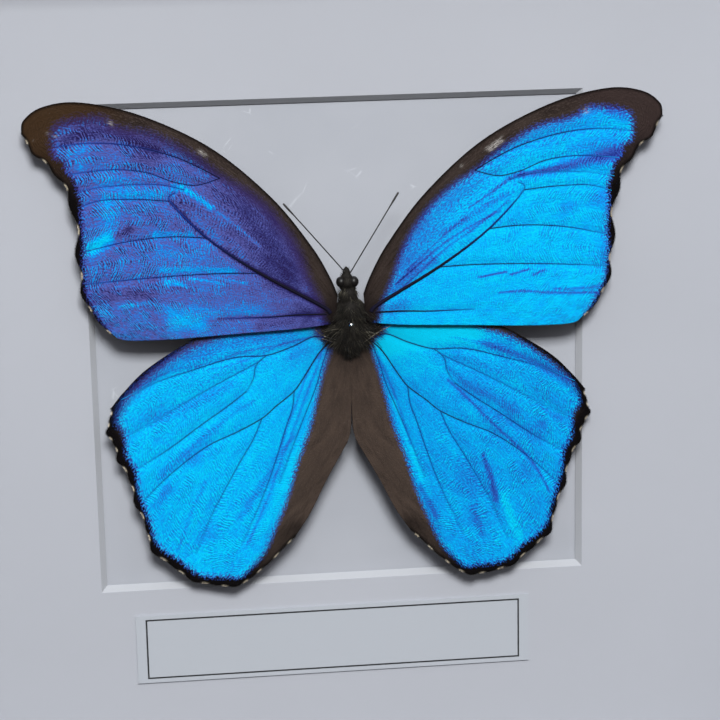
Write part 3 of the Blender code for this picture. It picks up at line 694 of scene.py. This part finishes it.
def wing_mesh(name, wing, hand, base_sheen, sheen_strokes, flecks):
    """The wing as a closed membrane, with what its scales need to know at every point."""
    drawn = wing.grid()
    flat = drawn.reshape(-1, 2)
    rows, columns = drawn.shape[:2]
    index = np.arange(rows * columns).reshape(rows, columns)
    a, b, c, d = (index[:-1, :-1], index[1:, :-1], index[1:, 1:], index[:-1, 1:])
    top = np.stack((a, b, c, d), axis=-1).reshape(-1, 4)
    under = top[:, ::-1] + index.size
    ring = np.concatenate((index[0, :-1], index[:-1, -1], index[-1, :0:-1], index[:0:-1, 0]))
    following = np.roll(ring, -1)
    edge = np.stack((ring, following, following + index.size, ring + index.size), axis=-1)
    quads = np.vstack((top, under, edge))
    if hand < 0:
        quads = quads[:, ::-1]
    points = wing.stand(flat, hand, 0, -MEMBRANE)
    mesh = quad_mesh(name, points, quads)
    facing = np.zeros(len(quads), np.int32)
    facing[len(top):] = 1
    mesh.polygons.foreach_set("material_index", facing)
    outline = [wing.costa, wing.margin[1:]] + ([] if wing.double else [wing.inner[-2::-1]])
    to_margin, place = near_line(flat, wing.margin)
    to_costa = distance(flat, wing.costa)
    x, y = flat.T
    near_tail = np.clip((-y - 40) / 14, 0, 1) * np.clip((24 - x) / 6, 0, 1)
    lower = np.clip((44 - y) / 14, 0, 1) * (1 - 0.75 * near_tail)
    bays = bay_places(wing, place * (len(wing.margin) - 1))
    for attribute, values in (
            ("blue", depth_inside(flat, wing.blue)),
            ("lead", np.exp(-(to_costa / 7)**2)),
            ("grit", np.exp(-(to_costa / 13)**4) * np.clip((62 - x) / 30, 0.2, 1)),
            ("rim", distance(flat, np.vstack(outline))),
            ("vein", wing.to_veins(flat)),
            # Painted sheen and shade of the blue, from the strokes
            ("sheen_and_shade", base_sheen + painted(flat, sheen_strokes)),
            # Near black in the real black border along the lower outer margin and the hindwing's
            # outer costa, and painted shade round the wing roots by the body
            ("black_edges_and_root_shade", np.maximum(np.exp(-(to_margin / 3.4)**4) * lower,
                                0.85 * np.exp(-(np.hypot(x, y) / 8)**4))
             + wing.double * np.clip((x - 30) / 10, 0, 1) * np.exp(-(to_costa / 1.2)**4)),
            ("cream", bays * np.clip(1.3 - to_margin / 0.15, 0, 1)),
            ("fleck", painted(flat, flecks)),
            ("tip", np.clip((np.hypot(x, y) - 66) / 12, 0, 0.8) * (y > 0))):
        note(mesh, attribute, np.tile(values, 2))
    along = np.linspace(0, 1, columns)[None, :] * np.linalg.norm(
        drawn[:, -1] - drawn[:, 0], axis=1).mean()
    across = np.linspace(0, 1, rows)[:, None] * np.linalg.norm(
        np.diff(drawn, axis=0), axis=2).sum(axis=0).max() * np.ones(columns)
    flow = np.stack((along * np.ones((rows, 1)), across), axis=-1).reshape(-1, 2)
    layer = mesh.uv_layers.new(name="flow")
    corners = np.zeros(len(mesh.loops), np.int32)
    mesh.loops.foreach_get("vertex_index", corners)
    layer.data.foreach_set("uv", flow[corners % index.size].astype(np.float32).ravel())
    return mesh


def wing_scales(name, fade, crimp, mottle, lows, broad, narrow, browns, cast=(1.0, 1.0, 1.0),
                tip_brown=(0.04, 0.03, 0.03)):
    """Blue scales over a ruffled membrane, and brown ones in the borders; the blue carries painted
    sheen and shade, and the roots a painted shadow.
    """
    scales = Finish(name)
    flow = scales.add("ShaderNodeUVMap", uv_map="flow")
    blue, lead, grit, rim, vein, sheen_and_shade, black_edges_and_root_shade, cream, fleck, tip = (scales.attribute(n) for n in (
        "blue", "lead", "grit", "rim", "vein", "sheen_and_shade", "black_edges_and_root_shade", "cream", "fleck", "tip"))

    def stretched(along, across):
        return scales.vector("MULTIPLY", flow, (along, across, 1))

    def around(value, amount):
        return scales.calc("MULTIPLY", scales.calc("SUBTRACT", value, 0.5), amount)

    # The crepe runs across the wing, and slants away from every vein. It is a bump, and the colour
    # takes it too, as painted light and shade on the ruffles
    slant = scales.add("ShaderNodeCombineXYZ", {0: scales.calc("MULTIPLY", vein, 0.36)})
    crossing = scales.vector("ADD", stretched(1, 0.5), slant)
    crepe = scales.add("ShaderNodeTexWave", {"Vector": crossing, "Scale": 0.57, "Distortion": 9.0,
                       "Detail": 2.0, "Detail Scale": 1.3, "Detail Roughness": 0.6}, out=1)
    speck = scales.level(scales.grain(stretched(1.8, 2.3), 1.0, 2, 0.65), 0.40, 0.60)
    streak = scales.level(scales.grain(stretched(0.10, 1.5), 1.0, 3, 0.6), 0.3, 0.7)
    drift = scales.level(scales.grain(stretched(0.22, 0.22), 1.0, 3, 0.55, 0.5), 0.3, 0.7)
    reach = scales.level(scales.add("ShaderNodeSeparateXYZ", {0: flow}), 8, 46, 0.15, 1.0)
    strong = scales.calc("MULTIPLY", reach, scales.level(
        scales.grain(stretched(0.25, 0.4), 1.0, 2, 0.5), 0.42, 0.58, 0.12, 1.0))
    # The blue's painted sheen and shade, with the crepe's painted shading, specks, streaks and
    # drift added
    shade = sheen_and_shade
    for part in (scales.calc("MULTIPLY", around(crepe, strong), crimp),
                 around(speck, scales.level(grit, 0, 1, *mottle)),
                 around(streak, 0.22), around(drift, 0.40)):
        shade = scales.calc("ADD", shade, part)
    colour = scales.ramp(scales.level(shade, -1.2, 1.2),
                         list(zip((0.00, 0.18, 0.36, 0.50, 0.62, 0.78, 0.90, 1.00),
                                  (*lows, *BRIGHT_BLUES))))
    # Darker blue beside each vein: painted shade of the raised veins
    colour = scales.blend(scales.level(vein, 0.05, 0.40, 0.45, 0.0), colour, (0.006, 0.040, 0.300))
    ragged = scales.calc("ADD", blue, around(speck, 1.0))
    edge = scales.calc("DIVIDE", ragged, scales.level(lead, 0, 1, 0.30, 0.30 + fade))
    colour = scales.blend(scales.level(edge, 2.2, 0.2, 0.0, 0.50), colour, broad)
    colour = scales.blend(scales.level(ragged, 1.05, 0.10, 0.0, 0.72), colour, narrow)
    # Painted sheen: a tint for a wing that meets the light at another angle
    colour = scales.blend(1.0, colour, cast, "MULTIPLY")
    brown = scales.blend(drift, *browns)
    brown = scales.blend(scales.level(streak, 0.3, 1.0, 0.0, 0.35), brown, (0.080, 0.056, 0.046))
    brown = scales.blend(scales.level(speck, 0.80, 1.0, 0.0, 0.30), brown, (0.12, 0.09, 0.08))
    brown = scales.blend(tip, brown, tip_brown)
    # Near black in the black borders, and painted shade at the wing roots
    brown = scales.blend(scales.calc("MINIMUM", black_edges_and_root_shade, 1.0), brown, (0.003, 0.0022, 0.0028))
    brown = scales.blend(scales.level(rim, 0.75, 0.15, 0.0, 0.9), brown, (0.003, 0.0024, 0.0024))
    inside = scales.level(edge, -0.9, 0.9)
    laid = scales.blend(inside, brown, colour)
    rubbed = scales.level(scales.grain(stretched(0.9, 3.6), 1.0, 2, 0.6), 0.42, 0.62)
    laid = scales.blend(scales.calc("MULTIPLY", fleck, rubbed), laid, (0.62, 0.58, 0.56))
    height = scales.calc("ADD", scales.calc("MULTIPLY", crepe, strong), around(speck, 0.6))
    return scales.surface({
        "Base Color": scales.blend(cream, laid, (0.54, 0.47, 0.35)),
        "Roughness": scales.level(inside, 0, 1, 0.62, 0.42),
        "Specular IOR Level": 0.005,
        "Normal": scales.bump(height, 0.12, 0.8)})


underside = Finish("brown wing underside")
blotches = underside.grain(underside.place(), 0.22, 4, 0.6)
underside.surface({"Base Color": underside.ramp(blotches, [(0.35, (0.040, 0.026, 0.018)),
                                                           (0.65, (0.110, 0.078, 0.055))]),
                   "Roughness": 0.75, "Normal": underside.bump(blotches, 0.05, 0.4)})

forewing = Wing(FOREWING_COSTA, FOREWING_TEETH, FOREWING_INNER, FOREWING_BLUE, FOREWING_VEINS,
                FOREWING_HEIGHT, double=False)
hindwing = Wing(HINDWING_COSTA, HINDWING_TEETH, HINDWING_INNER, HINDWING_BLUE, HINDWING_VEINS,
                HINDWING_HEIGHT, double=True)
COSTAL_BROWNS = ((0.022, 0.015, 0.013), (0.045, 0.032, 0.028))
ANAL_BROWNS = ((0.048, 0.034, 0.028), (0.078, 0.054, 0.043))
DEEP_BLUES = ((0.007, 0.010, 0.110), (0.020, 0.040, 0.320), (0.042, 0.112, 0.520),
              (0.018, 0.152, 0.610))
DULL_VIOLETS = ((0.020, 0.012, 0.080), (0.036, 0.038, 0.185), (0.094, 0.098, 0.355),
                (0.046, 0.136, 0.560))
BRIGHT_BLUES = ((0.010, 0.240, 0.770), (0.002, 0.370, 0.930), (0.0005, 0.490, 0.980),
                (0.0005, 0.620, 1.000))
# Each wing's low blues, base sheen and tint paint how its iridescent scales catch the light: dull
# violet on the left forewing, tealer on the right hindwing
WINGS = [
    ("forewing_right", forewing, 1, 0.95, RIGHT_FOREWING_SHEEN, RIGHT_FOREWING_FLECKS, dict(
        fade=0.7, crimp=0.95, mottle=(0.36, 1.30), lows=DEEP_BLUES, broad=(0.045, 0.075, 0.440),
        narrow=(0.036, 0.016, 0.360), browns=COSTAL_BROWNS, tip_brown=(0.042, 0.027, 0.026))),
    ("forewing_left", forewing, -1, -0.17, LEFT_FOREWING_SHEEN, LEFT_FOREWING_FLECKS, dict(
        fade=1.9, crimp=1.30, mottle=(0.50, 0.45), lows=DULL_VIOLETS, broad=(0.042, 0.027, 0.140),
        narrow=(0.035, 0.018, 0.210), browns=COSTAL_BROWNS, tip_brown=(0.050, 0.025, 0.010))),
    ("hindwing_right", hindwing, 1, 0.64, RIGHT_HINDWING_SHEEN, [], dict(
        fade=0.2, crimp=0.90, mottle=(0.50, 0.80), lows=DEEP_BLUES, broad=(0.007, 0.190, 0.640),
        narrow=(0.030, 0.018, 0.400), browns=ANAL_BROWNS, cast=(0.60, 0.99, 0.95))),
    ("hindwing_left", hindwing, -1, 0.92, LEFT_HINDWING_SHEEN, [], dict(
        fade=0.9, crimp=0.75, mottle=(0.50, 1.00), lows=DEEP_BLUES, broad=(0.034, 0.075, 0.390),
        narrow=(0.034, 0.018, 0.400), browns=ANAL_BROWNS))]
for node, wing, hand, base_sheen, sheen_strokes, flecks, hues in WINGS:
    mesh = wing_mesh(node + "_scales", wing, hand, base_sheen, sheen_strokes, flecks)
    finish = wing_scales(node + " scales", **hues)
    piece = add_piece(node + "_scales", mesh, finish)
    mesh.materials.append(underside.material)
    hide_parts(node)


# ---- Wing veins ---------------------------------------------------------------------------
# The hollow horn ribs that carry each wing. They are thickest at the base and fine down
# towards the margin, and stand a little above the scales.

def hardened(name, soft):
    """The plain mesh that an object's modifiers make of it; the object itself goes."""
    mesh = bpy.data.meshes.new_from_object(
        soft.evaluated_get(bpy.context.evaluated_depsgraph_get()))
    mesh.name = name
    bpy.data.objects.remove(soft)
    return mesh


class Growth(Finish):
    """A Geometry Nodes tree with named sizes, laid down like a finish."""

    def __init__(self, name, sizes):
        self.tree = bpy.data.node_groups.new(name, "GeometryNodeTree")
        face = self.tree.interface
        face.new_socket("Geometry", in_out="INPUT", socket_type="NodeSocketGeometry")
        for label, kind in sizes.items():
            face.new_socket(label, in_out="INPUT", socket_type="NodeSocket" + kind)
        face.new_socket("Geometry", in_out="OUTPUT", socket_type="NodeSocketGeometry")
        self.sizes = self.tree.nodes.new("NodeGroupInput").outputs

    def named(self, name, kind="FLOAT"):
        return self.add("GeometryNodeInputNamedAttribute", {"Name": name}, data_type=kind)

    def chance(self, low, high, seed):
        """A random number for each point."""
        return self.add("FunctionNodeRandomValue", {2: low, 3: high, "Seed": seed}, out=1,
                        data_type="FLOAT")

    def stray(self, heading, amount):
        """A direction that wanders a little at each point."""
        astray = self.add("FunctionNodeRandomValue", {0: (-amount,) * 3, 1: (amount,) * 3,
                          "Seed": self.sizes["Seed"]}, data_type="FLOAT_VECTOR")
        return self.vector("ADD", heading, astray)

    def close(self, geometry):
        """Make the instances real, give them their finish and hand them out."""
        real = self.add("GeometryNodeRealizeInstances", {0: geometry})
        clad = self.add("GeometryNodeSetMaterial", {"Geometry": real,
                                                    "Material": self.sizes["Finish"]})
        out = self.tree.nodes.new("NodeGroupOutput")
        self.tree.links.new(clad, out.inputs[0])

    def grow(self, name, source, slot, **sizes):
        """Run the tree on a mesh and keep what it makes as a plain piece."""
        seed = put(name + "_seed", source)
        run = seed.modifiers.new("growth", "NODES")
        run.node_group = self.tree
        for socket in self.tree.interface.items_tree:
            if socket.in_out == "INPUT" and socket.name in sizes:
                run[socket.identifier] = sizes[socket.name]
        grown = hardened(name, seed)
        grown.materials.clear()
        return add_piece(name, grown, sizes["Finish"])


def rib_tree():
    """A tapered rod along every line of the source; its own attribute gives its radius."""
    rod = Growth("rib", {"Sides": "Int", "Finish": "Material"})
    line = rod.add("GeometryNodeMeshToCurve", {"Mesh": rod.sizes["Geometry"]})
    ring = rod.add("GeometryNodeCurvePrimitiveCircle", {"Resolution": rod.sizes["Sides"],
                                                        "Radius": 1.0})
    skin = rod.add("GeometryNodeCurveToMesh", {"Curve": line, "Profile Curve": ring,
                                               "Scale": rod.named("girth"), "Fill Caps": True})
    rod.close(rod.add("GeometryNodeSetShadeSmooth", {"Geometry": skin}))
    return rod


def line_mesh(name, lines, **notes):
    """Open lines as one mesh of edges, with a value of each note for every point."""
    mesh = bpy.data.meshes.new(name)
    points = np.vstack(lines)
    edges, start = [], 0
    for line in lines:
        edges += [(start + i, start + i + 1) for i in range(len(line) - 1)]
        start += len(line)
    mesh.from_pydata(points.tolist(), edges, [])
    for key, values in notes.items():
        note(mesh, key, np.concatenate(values))
    return mesh


def vein_horn(name, faded):
    """Black horn at the base, under more and more of the wing's own scales."""
    horned = Finish(name)
    return horned.surface({
        "Base Color": horned.ramp(horned.attribute("dark"), [
            (0.1, faded), (0.6, (0.003, 0.024, 0.210)), (0.95, (0.005, 0.004, 0.016))]),
        "Roughness": 0.6, "Specular IOR Level": 0.06})


VEIN_SINK = 0.02
# The vein tips take the wing's blue; on the left forewing that is its painted violet sheen
VIOLET_VEINS, BLUE_VEINS = (0.03, 0.08, 0.36), (0.001, 0.40, 0.93)
rib = rib_tree()
for node, wing, hand, *_ in WINGS:
    horned = vein_horn(node + " veins", VIOLET_VEINS if node == "forewing_left" else BLUE_VEINS)
    lines, girths, darks = [], [], []
    for dark, thick, thin, drawn in wing.veins:
        spaced = evenly(drawn, 3 * len(drawn))
        t = np.linspace(0, 1, len(spaced))
        lines.append(wing.stand(spaced, hand, -VEIN_SINK))
        girths.append((thick + (thin - thick) * t**0.7) * MM)
        darks.append(dark - 0.70 * t**3)
    rib.grow(node + "_veins", line_mesh(node + "_vein_lines", lines, girth=girths, dark=darks),
             "insect_horn", Sides=8, Finish=horned)


# ---- Wing fringe --------------------------------------------------------------------------
# A row of hair-fine scales stands out all round the scalloped margins. It is black on the
# lobes at the vein ends and cream in the bays between them.

def fringe_tree():
    comb = Growth("fringe", {"Spacing": "Float", "Length": "Float", "Girth": "Float",
                             "Seed": "Int", "Finish": "Material"})
    line = comb.add("GeometryNodeMeshToCurve", {"Mesh": comb.sizes["Geometry"]})
    roots = comb.add("GeometryNodeCurveToPoints", {"Curve": line, "Length": comb.sizes["Spacing"]},
                     mode="LENGTH")
    thorn = comb.add("GeometryNodeMeshCone", {"Vertices": 3, "Radius Top": 0.3,
                                              "Radius Bottom": 1.0, "Depth": 1.0})
    shape = comb.add("ShaderNodeCombineXYZ", {0: comb.sizes["Girth"], 1: comb.sizes["Girth"],
                                              2: comb.sizes["Length"]})
    thorn = comb.add("GeometryNodeTransform", {"Geometry": thorn, "Scale": shape})
    aim = comb.stray(comb.named("outward", "FLOAT_VECTOR"), 0.3)
    lean = comb.add("FunctionNodeAlignRotationToVector", {"Vector": aim}, axis="Z")
    reach = comb.chance(0.6, 1.15, comb.sizes["Seed"])
    comb.close(comb.add("GeometryNodeInstanceOnPoints", {"Points": roots, "Instance": thorn,
                        "Rotation": lean, "Scale": reach}))
    return comb


fringe_scales = Finish("fringe scales")
fringe_scales.surface({
    "Base Color": fringe_scales.ramp(fringe_scales.attribute("pale"), [
        (0.35, (0.012, 0.009, 0.008)), (0.60, (0.62, 0.52, 0.40))]),
    "Roughness": 0.7})
fringe = fringe_tree()
for number, (node, wing, hand, *_) in enumerate(WINGS):
    drawn = wing.margin
    pale = bay_places(wing, np.arange(len(drawn)))
    heading = headings(drawn)
    out = np.column_stack((-heading[:, 1] * hand, heading[:, 0], np.zeros(len(drawn))))
    margin = line_mesh(node + "_margin", [wing.stand(drawn, hand, -MEMBRANE / 2)],
                       outward=[out @ np.array(specimen.to_3x3()).T], pale=[pale])
    fringe.grow(node + "_fringe", margin, "insect_wing", Spacing=0.09 * MM, Length=0.30 * MM,
                Girth=0.05 * MM, Seed=number, Finish=fringe_scales.material)


# ---- Body --------------------------------------------------------------------------------
# Thorax, neck and head, dried hard and still covered in dark brown hair, with two bead
# eyes and a pair of pointed palps. The abdomen was taken off, as is often done.

BODY_LUMPS = [((0, -1.2, 3.5), (3.05, 6.3, 4.5)), ((0, 3.0, 4.4), (2.8, 3.6, 3.6)),
              ((-0.3, 6.9, 4.5), (1.75, 2.3, 2.2)), ((-0.55, 9.8, 5.0), (1.45, 1.5, 1.7)),
              ((-0.72, 10.9, 5.2), (1.35, 1.2, 1.1)), ((-1.06, 11.9, 5.1), (0.52, 1.25, 0.7)),
              ((-0.40, 11.9, 5.1), (0.52, 1.25, 0.7)), ((-0.72, 12.8, 5.0), (0.36, 0.7, 0.4)),
              ((-1.5, 8.6, 4.9), (0.7, 0.6, 0.9)), ((0.6, 8.5, 4.9), (0.8, 0.6, 0.9)),
              ((-0.6, 9.6, 6.1), (0.5, 0.7, 0.7))]
EYES = [((-1.98, 10.0, 5.3), (1.12, 1.25, 1.3)), ((0.86, 10.0, 5.3), (1.12, 1.25, 1.3))]


def eggs(name, lumps, detail=3):
    """Egg shapes in the specimen's millimetres, standing in the case."""
    mesh = bpy.data.meshes.new(name)
    work = bmesh.new()
    for centre, radii in lumps:
        bmesh.ops.create_icosphere(work, subdivisions=detail, radius=MM,
                                   matrix=specimen @ Matrix.Translation(Vector(centre) * MM)
                                   @ Matrix.Diagonal((*radii, 1.0)))
    work.to_mesh(mesh)
    work.free()
    mesh.shade_smooth()
    return mesh


def fused(name, mesh, voxel):
    """Melt overlapping lumps into one skin."""
    lump = put(name, mesh)
    melt = lump.modifiers.new("melt", "REMESH")
    melt.mode = "VOXEL"
    melt.voxel_size = voxel
    melt.use_smooth_shade = True
    ease = lump.modifiers.new("ease", "SMOOTH")
    ease.iterations = 6
    return hardened(name, lump)


horn = Finish("dark body horn")
plates = horn.grain(horn.place(), 0.8, 4, 0.6)
horn.surface({"Base Color": horn.ramp(plates, [(0.3, (0.005, 0.0045, 0.004)),
                                               (0.7, (0.018, 0.015, 0.013))]),
              "Roughness": 0.75, "Specular IOR Level": 0.15,
              "Normal": horn.bump(plates, 0.1, 0.6)})
skin_mesh = fused("body_skin", eggs("body_lumps", BODY_LUMPS), 0.16 * MM)
body_skin = add_piece("body_skin", skin_mesh, horn.material)
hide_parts("butterfly_body")

eye_gloss = Finish("eye")
facets = eye_gloss.add("ShaderNodeTexVoronoi", {"Vector": eye_gloss.place(), "Scale": 9.0})
eye_gloss.surface({"Base Color": (0.006, 0.005, 0.005), "Roughness": 0.40,
                   "Specular IOR Level": 0.35, "Normal": eye_gloss.bump(facets, 0.02, 0.4)})
add_piece("eyes", eggs("eyes", EYES, 4), eye_gloss.material)


# ---- Body hair ---------------------------------------------------------------------------
# Long soft hair, combed back along the thorax and out over the wing bases. It is brown
# black, and paler in a ring round the neck, along the sides and in a tuft by the pin.

def coat_tree():
    coat = Growth("coat", {"Density": "Float", "Length": "Float", "Girth": "Float",
                           "Seed": "Int", "Finish": "Material"})
    scatter = coat.tree.nodes.new("GeometryNodeDistributePointsOnFaces")
    coat.feed(scatter.inputs["Mesh"], coat.sizes["Geometry"])
    coat.feed(scatter.inputs["Density"],
              coat.calc("MULTIPLY", coat.sizes["Density"], coat.named("thickness")))
    coat.feed(scatter.inputs["Seed"], coat.sizes["Seed"])
    bow = coat.add("GeometryNodeCurveQuadraticBezier", {"Resolution": 5, "Start": (0, 0, 0),
                   "Middle": (0, 0, 0.55), "End": (0.30, 0, 0.95)})
    along = coat.add("GeometryNodeSplineParameter")
    ring = coat.add("GeometryNodeCurvePrimitiveCircle", {"Resolution": 3, "Radius": coat.calc(
        "DIVIDE", coat.sizes["Girth"], coat.sizes["Length"])})
    hair = coat.add("GeometryNodeCurveToMesh", {"Curve": bow, "Profile Curve": ring,
                                                "Scale": coat.level(along, 0, 1, 1.0, 0.15)})
    away, down = (coat.add("ShaderNodeVectorMath", {0: scatter.outputs["Normal"], 3: scale},
                           operation="SCALE") for scale in (0.45, -1.0))
    aim = coat.vector("ADD", coat.stray(coat.named("comb", "FLOAT_VECTOR"), 0.32), away)
    lean = coat.add("FunctionNodeAlignRotationToVector", {"Vector": aim}, axis="Z")
    lean = coat.add("FunctionNodeAlignRotationToVector", {"Rotation": lean, "Vector": down},
                    axis="X", pivot_axis="Z")
    reach = coat.calc("MULTIPLY", coat.chance(0.55, 1.2, coat.sizes["Seed"]), coat.named("long"))
    size = coat.calc("MULTIPLY", reach, coat.sizes["Length"])
    grown = coat.add("GeometryNodeInstanceOnPoints", {"Points": scatter.outputs["Points"],
                     "Instance": hair, "Rotation": lean, "Scale": size})
    grown = coat.add("GeometryNodeStoreNamedAttribute", {"Geometry": grown, "Name": "strand",
                     "Value": coat.chance(0.0, 1.0, 5)}, data_type="FLOAT", domain="INSTANCE")
    coat.close(grown)
    return coat


hair = Finish("body hair")
hair_tone = hair.calc("ADD", hair.calc("MULTIPLY", hair.attribute("strand"), 0.55),
                      hair.attribute("fair"))
hair.surface({
    "Base Color": hair.ramp(hair_tone, [(0.0, (0.004, 0.0035, 0.003)),
                                        (0.45, (0.024, 0.021, 0.018)),
                                        (0.58, (0.050, 0.044, 0.034)),
                                        (0.95, (0.24, 0.22, 0.17))]),
    "Roughness": 0.6, "Specular IOR Level": 0.12})

roots = np.empty(len(skin_mesh.vertices) * 3)
skin_mesh.vertices.foreach_get("co", roots)
to_mm = np.array(specimen.inverted())
x, y, z = ((roots.reshape(-1, 3) @ to_mm[:3, :3].T + to_mm[:3, 3]) / MM).T
flank = np.clip((np.abs(x) - 1.6) / 1.2, 0, 1) * np.exp(-((y - 0.5) / 4.5)**4)
swirl = 0.5 * np.sin(1.7 * x + 2.1 * y) + 0.4 * np.sin(3.1 * y - 1.3 * x + z)
comb = np.column_stack((np.sign(x) * (0.25 + 1.1 * flank) + 0.35 * swirl,
                        np.where(y > 8, 0.7, -0.9 + 0.7 * flank) + 0.25 * swirl,
                        0.05 - 0.12 * flank))
coated = skin_mesh.copy()
note(coated, "comb", comb @ np.array(specimen.to_3x3()).T)
note(coated, "thickness", np.where(z > 1.5, 1.0, 0.1) * np.where(y > 9, 0.35, 1.0))
note(coated, "long", np.where(y > 8.0, 0.35, 0.75) + 1.75 * flank)
neck_ring = 0.30 * np.exp(-((y - 8.0) / 0.5)**2)
side_stripes = 0.16 * np.exp(-((np.abs(x) - 2.6) / 0.5)**2 - ((y + 3.0) / 3.5)**2)
tuft_by_pin = 0.45 * np.exp(-((x - 0.2) / 0.16)**2 - ((y - 1.8) / 1.0)**2)
note(coated, "fair", np.clip(0.26 * swirl + 0.03 * flank + neck_ring + side_stripes
                             + tuft_by_pin, 0, 1))
coat_tree().grow("body_hair", coated, "insect_body", Density=20e6, Length=2.0 * MM,
                 Girth=0.075 * MM, Seed=11, Finish=hair.material)


# ---- Wing hinges ---------------------------------------------------------------------------
# Small plates of dark horn, where each pair of wings joins the thorax, with pale golden patches
# that are painted glints. Each is a short bent ridge, which runs from the wing's root onto the
# body.

hinge_horn_with_glints = Finish("hinge horn with painted glints")
# Dark horn with pale golden patches, which paint the glints on the hinges
hinge_horn_with_glints.surface({"Base Color": hinge_horn_with_glints.ramp(hinge_horn_with_glints.grain(hinge_horn_with_glints.place(), 2.0),
                   [(0.46, (0.010, 0.008, 0.007)), (0.66, (0.22, 0.19, 0.14))]),
                   "Roughness": 0.35})


def in_case(points):
    """Points in the specimen's millimetres, put in their place in the case."""
    return np.array([specimen @ (Vector(point) * MM) for point in points])


hinges = []
for hand, line in ((-1, [(8.2, -0.2, 6.6), (6.2, -1.8, 6.9), (3.3, -2.8, 7.0)]),
                   (-1, [(6.6, -2.4, 6.5), (4.4, -3.2, 6.7), (3.2, -3.5, 6.6)]),
                   (1, [(9.0, -0.1, 6.6), (6.4, -1.2, 6.9), (2.9, -3.5, 7.0)]),
                   (1, [(4.2, -2.0, 6.9), (3.4, -1.2, 7.0)])):
    hinges.append(in_case(smooth_line([(hand * x, y, z) for x, y, z in line])))
hinge_girths = [(0.03 + 0.06 * np.sin(np.linspace(0, math.pi, len(line)))) * MM for line in hinges]
rib.grow("wing_hinges", line_mesh("hinge_lines", hinges, girth=hinge_girths), "insect_horn",
         Sides=8, Finish=hinge_horn_with_glints.material)


# ---- Antennae ---------------------------------------------------------------------------
# Two black feelers of fine rings, bowed outwards, each thickening into a slim club. They
# grew with the head, and are dried stiff.

ANTENNAE = {"right": (1, [(0.0, 12.3, 6.7), (5.3, 21.4, 8.2), (10.9, 30.0, 7.0)]),
            "left": (-1, [(1.3, 12.6, 6.7), (8.4, 21.2, 8.2), (14.6, 28.3, 7.0)])}
feeler_horn = Finish("feeler horn")
feeler_horn.surface({"Base Color": feeler_horn.ramp(feeler_horn.grain(feeler_horn.place(), 1.5),
                     [(0.3, (0.006, 0.005, 0.005)), (0.7, (0.020, 0.016, 0.014))]),
                     "Roughness": 0.4})
FEELER_RADIUS, FEELER_RINGS = 0.135, 60
for side, (hand, (start, bend, end)) in ANTENNAE.items():
    t = np.linspace(0, 1, 240)[:, None]
    start, bend, end = (np.array((hand * p[0], p[1], p[2])) for p in (start, bend, end))
    path = in_case(start * (1 - t)**2 + bend * 2 * t * (1 - t) + end * t**2)
    t = t[:, 0]
    rings = 1 + 0.10 * np.cos(2 * math.pi * FEELER_RINGS * t)
    rounded_end = np.sqrt(np.clip((1.004 - t) / 0.03, 0.05, 1))
    club = 1 + 0.75 * np.clip((t - 0.80) / 0.12, 0, 1) * rounded_end
    line = line_mesh("feeler_line_" + side, [path], girth=[FEELER_RADIUS * MM * rings * club])
    feeler = rib.grow("feeler_" + side, line, "insect_horn", Sides=8, Finish=feeler_horn.material)
    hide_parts("antenna_" + side)


# ---- Setting pin ---------------------------------------------------------------------------
# A polished steel insect pin, pushed down through the thorax to the panel. Its head is cut
# off, so that only a short bright stub stands above the back.

pin_steel = Finish("polished pin steel")
drawn_lines = pin_steel.grain(pin_steel.place((1, 0.1, 1)), 6.0)
pin_steel.surface({
    "Base Color": pin_steel.blend(drawn_lines, (0.70, 0.69, 0.66), (0.82, 0.81, 0.78)),
    "Metallic": 1.0, "Roughness": pin_steel.level(drawn_lines, 0.3, 0.7, 0.16, 0.28)})
dress("setting_pin", pin_steel.material)


# ---- Back board, tabs and hanger -----------------------------------------------------
# Brown hardboard closes the back, held by eight zinc plated tabs that are pushed into the
# rails. A sawtooth strip on two nails hangs the frame from a wall.

hardboard = Finish("pressed hardboard")
board_grid = hardboard.place()
pulp = hardboard.grain(board_grid, 0.9, 8, 0.72, 0.8)
flecks = hardboard.level(hardboard.grain(hardboard.place((0.5, 1, 1)), 2.4, 4, 0.7), 0.60, 0.72)
stain = hardboard.grain(board_grid, 0.02, 3)
board_colour = hardboard.ramp(pulp, [(0.25, (0.125, 0.066, 0.034)), (0.75, (0.250, 0.150, 0.085))])
board_colour = hardboard.blend(hardboard.level(stain, 0.3, 0.7, 0, 0.3), board_colour,
                               (0.14, 0.08, 0.045))
hardboard.surface({
    "Base Color": hardboard.blend(hardboard.calc("MULTIPLY", flecks, 0.5), board_colour,
                                  (0.36, 0.25, 0.16)),
    "Roughness": hardboard.level(pulp, 0.3, 0.7, 0.62, 0.8),
    "Normal": hardboard.bump(pulp, 0.1, 0.6)})
dress("back_board", hardboard.material)

zinc = Finish("zinc plate")
spangle = zinc.add("ShaderNodeTexVoronoi", {"Vector": zinc.place(), "Scale": 0.9}, out="Color")
brushed = zinc.grain(zinc.place((0.08, 1, 1)), 7.0, 4, 0.6)
tarnish = zinc.grain(zinc.place(), 0.35, 5, 0.65)
zinc_colour = zinc.blend(0.12, (0.60, 0.60, 0.585), spangle, "SOFT_LIGHT")
zinc.surface({
    "Base Color": zinc.blend(zinc.level(tarnish, 0.5, 0.75, 0, 0.5), zinc_colour,
                             (0.38, 0.37, 0.35)),
    "Metallic": 1.0, "Roughness": zinc.level(tarnish, 0.3, 0.7, 0.26, 0.46),
    "Normal": zinc.bump(brushed, 0.02, 0.5)})
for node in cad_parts:
    if node.startswith(("tab_", "sawtooth_", "hanger_")):
        dress(node, zinc.material)
